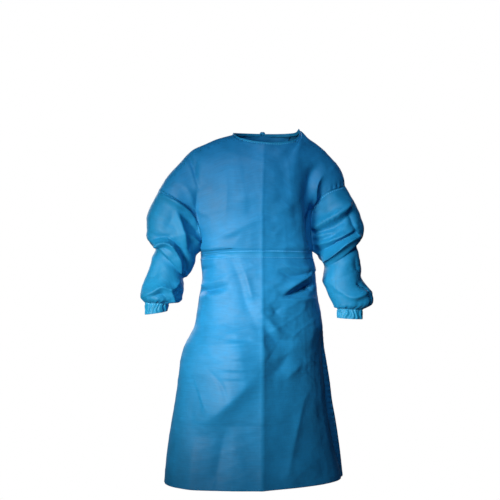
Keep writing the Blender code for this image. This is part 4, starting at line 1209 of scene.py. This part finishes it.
def puckered(points, distance, along, pucker, share=1.0):
    """Small gathers beside a seam: the points move along Y, most beside the seam."""
    finer = pucker.pitch * FINER_PUCKER_PITCH
    wave = np.cos(2 * math.pi * along / pucker.pitch)
    wave = wave + FINER_PUCKER_SIZE * np.cos(2 * math.pi * along / finer)
    fade = np.exp(-((distance / pucker.reach) ** 2)) * (distance > SEAM_ITSELF)
    points[..., 1] += pucker.depth * share * wave * fade
    return points


def make_panel(side, arms, cloth):
    """The front, or one half of the back, with puckers beside its seams."""
    ups = body_ups()[None, :]
    word = "front"
    lift = np.zeros((1, 1))
    across = np.linspace(-1, 1, BODY_STEPS + 1)
    if side == BACK:
        arm = arms[0]
        across = across[across * arm >= -OVERLAP_SHARE]
        lift = layer_lift(arm, across)[:, None] * np.ones(ups.shape)
        word = "back_" + SIDE_WORD[arm]
    across = across[:, None] * np.ones(ups.shape)
    points = body_point(side, to_centre_crease(side, across, ups + 0 * across), ups, lift)
    for arm in arms:
        seam = -1 if arm == LEFT else 0
        distance = np.linalg.norm(points - points[seam : seam + 1 or None], axis=-1)
        along = run_along(points[seam])[None, :]
        points = puckered(points, distance, along, SEAM_PUCKER)
        if side == FRONT and arm == LEFT:
            off_middle = (points[..., 0] - SHOULDER_PUCKER_MIDDLE) / SHOULDER_PUCKER_SPREAD
            near_top = np.exp(-(off_middle**2))
            points = puckered(points, distance, along, SHOULDER_PUCKER, near_top)
    return cloth_piece(word + "_cloth", points, cloth, word + "_panel")


def make_sleeve(arm, cloth):
    """A sleeve from under the arm round to there again, with puckers at its armhole."""
    along = np.linspace(0, 1, SLEEVE_STEPS + 1)[None, :]
    turn = np.linspace(math.pi, 3 * math.pi, SLEEVE_TURNS + 1)[:, None]
    points = sleeve_point(arm, along, turn)
    distance = np.linalg.norm(points - points[:, :1], axis=-1)
    round_seam = run_along(points[:, 0])[:, None]
    points = puckered(points, distance, round_seam, SLEEVE_PUCKER)
    node = SIDE_WORD[arm] + "_sleeve"
    return cloth_piece(node + "_cloth", points, cloth, node, joined=True)


def make_cuff(arm, cloth):
    """A gathered cuff, one turn round the wrist."""
    along = np.linspace(0, 1, CUFF_STEPS + 1)[None, :]
    turn = np.linspace(math.pi, 3 * math.pi, CUFF_TURNS + 1)[:, None]
    points = cuff_point(arm, along, turn)
    node = SIDE_WORD[arm] + "_cuff"
    return cloth_piece(node + "_cloth", points, cloth, node, joined=True)


def neck_loop():
    """Places round the neck opening, from centre back over the left side to the back."""
    steps = np.linspace(NECK_PART, 1, NECK_STEPS + 1)
    left_back = [(BACK, value) for value in steps]
    front = [(FRONT, value) for value in np.linspace(1, -1, 2 * NECK_STEPS + 1)[1:-1]]
    return left_back + front + [(BACK, -value) for value in steps[::-1]]


def make_neck_binding(cloth):
    """A strip folded over the neck edge: down outside, over the top and down inside."""
    edge = np.array([neck_point(side, np.float64(value)) for side, value in neck_loop()])
    inward = np.array([NECK_CENTRE, NECK_MIDDLE, 0.0]) - edge
    inward[:, 2] = 0
    inward = unit(inward)
    slope = inward * BINDING_SLOPE[0] + np.array([0.0, 0.0, BINDING_SLOPE[1]])
    aside = inward * BINDING_SLOPE[1] - np.array([0.0, 0.0, BINDING_SLOPE[0]])
    ups = np.linspace(BINDING_LOW, BINDING_TOP, BINDING_LEG_ROWS)
    profile = [(-BINDING_HALF, up) for up in ups]
    for turn in np.linspace(0, math.pi, BINDING_TURN_ROWS)[1:-1]:
        out, up = -BINDING_HALF * math.cos(turn), BINDING_HALF * math.sin(turn)
        profile.append((out, BINDING_TOP + up))
    profile += [(BINDING_HALF, up) for up in ups[::-1]]
    run = run_along(edge)
    waver = sum(size * np.sin(run / length + shift) for size, length, shift in BINDING_WAVER)
    rows = []
    for out, up in profile:
        reach = (up - BINDING_TOP) / BINDING_WAVER_REACH
        rows.append(edge + aside * (out + waver * reach)[:, None] + slope * up)
    points = np.stack(rows, axis=1)
    node = "neck_binding"
    return cloth_piece(node + "_cloth", points, cloth, node, wall=TRIM_CLOTH)


def make_belt(cloth):
    """The flat waist band, over the side seams and the lapped back, its edges turned."""
    across = np.linspace(-1, 1, BODY_STEPS + 1)[:, None]
    shares, lifts = np.array(BELT_ROWS).T
    lift = (BELT_OFF + lifts)[None, :]
    ups = up_of(BELT_CENTRE + shares * BELT_HEIGHT)[None, :] * np.ones(across.shape)
    start, run = BELT_LAYER_FADE
    front = body_point(FRONT, to_centre_crease(FRONT, across, ups), ups, lift)
    beside = LAYER_LIFT * (1 - eased((-across - start) / run))
    over = np.where(across < 0, beside, layer_lift(LEFT, across))[::-1]
    back = body_point(BACK, across[::-1], ups, lift + over)
    left_side, right_side = (front[-1:] + back[:1]) / 2, (front[:1] + back[-1:]) / 2
    points = np.concatenate([right_side, front[1:-1], left_side, back[1:-1], right_side])
    node = "waist_belt"
    return cloth_piece(node + "_cloth", points, cloth, node, TRIM_CLOTH, joined=True)


def make_knot(node, place, size, cloth):
    """A tied knot: a flattened ball with the cloth's turns drawn over it."""
    shape = bmesh.new()
    bmesh.ops.create_uvsphere(shape, u_segments=64, v_segments=40, radius=1.0)
    for vert in shape.verts:
        x, y, z = vert.co
        level, steep = x * KNOT_SLANT[0], z * KNOT_SLANT[1]
        turn = math.sin(KNOT_TURNS * (level + steep) + KNOT_TWIST * y)
        cross = math.sin(KNOT_TURNS * (level - steep) - KNOT_TWIST * y + KNOT_SHIFT)
        above = 1 / (1 + math.exp(-KNOT_CROSSING[0] * (x * KNOT_CROSSING[1] + z)))
        waist = KNOT_WAIST[0] * math.exp(-((z * KNOT_WAIST[1]) ** 2)) * abs(x)
        vert.co = vert.co * (1 + KNOT_FOLD * (turn * above + cross * (1 - above)) - waist)
    bmesh.ops.scale(shape, vec=size, verts=shape.verts)
    bmesh.ops.translate(shape, vec=place, verts=shape.verts)
    return finished(node + "_cloth", shape, cloth, node)


def make_hanging_end(node, ups, across, width, lifts, cloth):
    """A free end of a tie: it leaves its knot gathered and lies down the back."""
    steps = np.linspace(0, 1, END_STEPS + 1)
    up = np.interp(steps, (0, 1), ups)
    size, waves = END_SWAY
    middle = np.interp(steps, (0, 1), across) + size * np.sin(waves * steps) * steps
    lift = np.interp(steps, (0, END_SETTLED, 1), lifts)
    left, right = (body_base(BACK, middle + step, up) for step in (SIDE_STEP, -SIDE_STEP))
    span = np.linalg.norm(left - right, axis=1) / (2 * SIDE_STEP)
    gathered = END_GATHERED + (1 - END_GATHERED) * eased(steps / END_SPREAD_OUT)
    half = width / 2 * gathered / span
    depth, turns, fade = END_PLEAT
    size, waves = END_WAVE
    strips = []
    for off in np.linspace(-1, 1, END_STRIPS):
        pleat = depth * math.cos(off * turns) * (1 - eased(steps / fade))
        pleat = pleat + size * np.sin(waves * steps + off)
        strips.append(body_point(BACK, middle + off * half, up, lift + pleat))
    points = np.stack(strips)
    return cloth_piece(node + "_cloth", points, cloth, node, wall=TIE_CLOTH)


def make_ties(cloth):
    """Both knots at centre back, and the two free ends of the belt and of the neck tie."""
    waist = body_point(BACK, 0.0, up_of(BELT_CENTRE)) + np.array(BELT_KNOT.offset)
    neck = body_point(BACK, 0.0, 1.0) + np.array(NECK_KNOT.offset)
    make_knot("belt_knot", waist, BELT_KNOT.size, cloth)
    make_knot("neck_knot", neck, NECK_KNOT.size, cloth)
    for arm in (RIGHT, LEFT):
        length = BELT_END_LENGTHS[arm]
        top = BELT_CENTRE - BELT_KNOT.drop + END_UNDER_KNOT
        ups = (up_of(top), up_of(top - length))
        across = [arm * value for value in BELT_KNOT.spread]
        node = "belt_end_" + SIDE_WORD[arm]
        end = make_hanging_end(node, ups, across, BELT_END_WIDTH, BELT_KNOT.lifts, cloth)
        length = NECK_END_LENGTHS[arm]
        top = NECK_HEIGHT[BACK] - NECK_KNOT.drop
        ups = (front_up_of(top, BACK), front_up_of(top - length, BACK))
        across = [arm * value for value in NECK_KNOT.spread]
        node = "neck_end_" + SIDE_WORD[arm]
        end = make_hanging_end(node, ups, across, NECK_END_WIDTH, NECK_KNOT.lifts, cloth)


def soft_light(name, place, aim, size, power, colour, spread):
    """One area lamp that looks at its aim."""
    lamp = bpy.data.lights.new(name, "AREA")
    lamp.shape = "RECTANGLE"
    lamp.size, lamp.size_y = size
    lamp.energy = power
    lamp.color = colour
    lamp.spread = math.radians(spread)
    light = bpy.data.objects.new(name, lamp)
    light.location = place
    light.rotation_euler = (Vector(aim) - Vector(place)).to_track_quat("-Z", "Y").to_euler()
    bpy.context.scene.collection.objects.link(light)


def make_floor():
    """A round pale floor below the hem, part of the stage."""
    shape = bmesh.new()
    bmesh.ops.create_circle(shape, cap_ends=True, segments=FLOOR_SIDES, radius=FLOOR_RADIUS)
    bmesh.ops.translate(shape, vec=(0.0, 0.0, FLOOR), verts=shape.verts)
    mesh = bpy.data.meshes.new("floor")
    shape.to_mesh(mesh)
    shape.free()
    floor = bpy.data.objects.new("floor", mesh)
    bpy.context.scene.collection.objects.link(floor)
    material = bpy.data.materials.new("pale_floor")
    material.use_nodes = True
    shader = material.node_tree.nodes["Principled BSDF"]
    shader.inputs["Base Color"].default_value = (*linear("#f2f2f0"), 1.0)
    shader.inputs["Roughness"].default_value = 0.7
    mesh.materials.append(material)


def make_studio():
    """White surroundings that shed little light, and the soft lamps."""
    world = bpy.data.worlds.new("studio")
    bpy.context.scene.world = world
    world.use_nodes = True
    tree = world.node_tree
    room = tree.nodes["Background"]
    room.inputs["Color"].default_value = (*AMBIENT_COLOUR, 1.0)
    room.inputs["Strength"].default_value = AMBIENT
    white = add_node(tree, "ShaderNodeBackground", values=(("Color", (1.0, 1.0, 1.0, 1.0)),))
    rays = add_node(tree, "ShaderNodeLightPath")
    either = add_node(tree, "ShaderNodeMixShader", links=((0, rays.outputs["Is Camera Ray"]),))
    tree.links.new(room.outputs["Background"], either.inputs[1])
    tree.links.new(white.outputs["Background"], either.inputs[2])
    tree.links.new(either.outputs["Shader"], tree.nodes["World Output"].inputs["Surface"])
    for name, place, aim, size, power, colour, spread in LIGHTS:
        soft_light(name, place, aim, size, power, colour, spread)


def make_camera():
    """The photograph's view: level, from a little to the wearer's right."""
    camera = bpy.data.cameras.new("camera")
    camera.sensor_width = VIEW_SENSOR
    camera.lens = VIEW_LENS
    right = Vector((math.cos(VIEW_TURN), math.sin(VIEW_TURN), 0.0))
    ahead = Vector((-math.sin(VIEW_TURN), math.cos(VIEW_TURN), 0.0))
    viewer = bpy.data.objects.new("camera", camera)
    viewer.location = right * VIEW_ASIDE - ahead * VIEW_DISTANCE + Vector((0.0, 0.0, VIEW_HEIGHT))
    viewer.rotation_euler = ahead.to_track_quat("-Z", "Y").to_euler()
    bpy.context.scene.collection.objects.link(viewer)
    bpy.context.scene.camera = viewer
    bpy.context.scene.view_settings.view_transform = "Standard"


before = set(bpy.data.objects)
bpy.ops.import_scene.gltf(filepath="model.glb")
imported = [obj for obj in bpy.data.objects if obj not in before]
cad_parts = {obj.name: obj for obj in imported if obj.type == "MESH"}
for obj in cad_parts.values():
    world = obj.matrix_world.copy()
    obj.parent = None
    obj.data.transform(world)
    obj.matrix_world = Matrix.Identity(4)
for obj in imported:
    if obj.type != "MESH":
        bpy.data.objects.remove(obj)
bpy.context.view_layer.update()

body_cloth = nonwoven("spunbond_nonwoven_body", "#1a83bb")
sleeve_cloth = nonwoven("spunbond_nonwoven_sleeves", "#1687bb", welds=(0.005,))
belt_cloth = nonwoven("spunbond_nonwoven_belt", "#1c87be", welds=(0.0018, 0.0232))
trim_cloth = nonwoven("spunbond_nonwoven_doubled", "#1e90bf", roughness=0.50, welds=(0.004,))

front = make_panel(FRONT, (RIGHT, LEFT), body_cloth)
for arm in (RIGHT, LEFT):
    half = make_panel(BACK, (arm,), body_cloth)
    sleeve = make_sleeve(arm, sleeve_cloth)
    cuff = make_cuff(arm, trim_cloth)
binding = make_neck_binding(trim_cloth)
belt = make_belt(belt_cloth)
make_ties(trim_cloth)

make_floor()
make_studio()
make_camera()
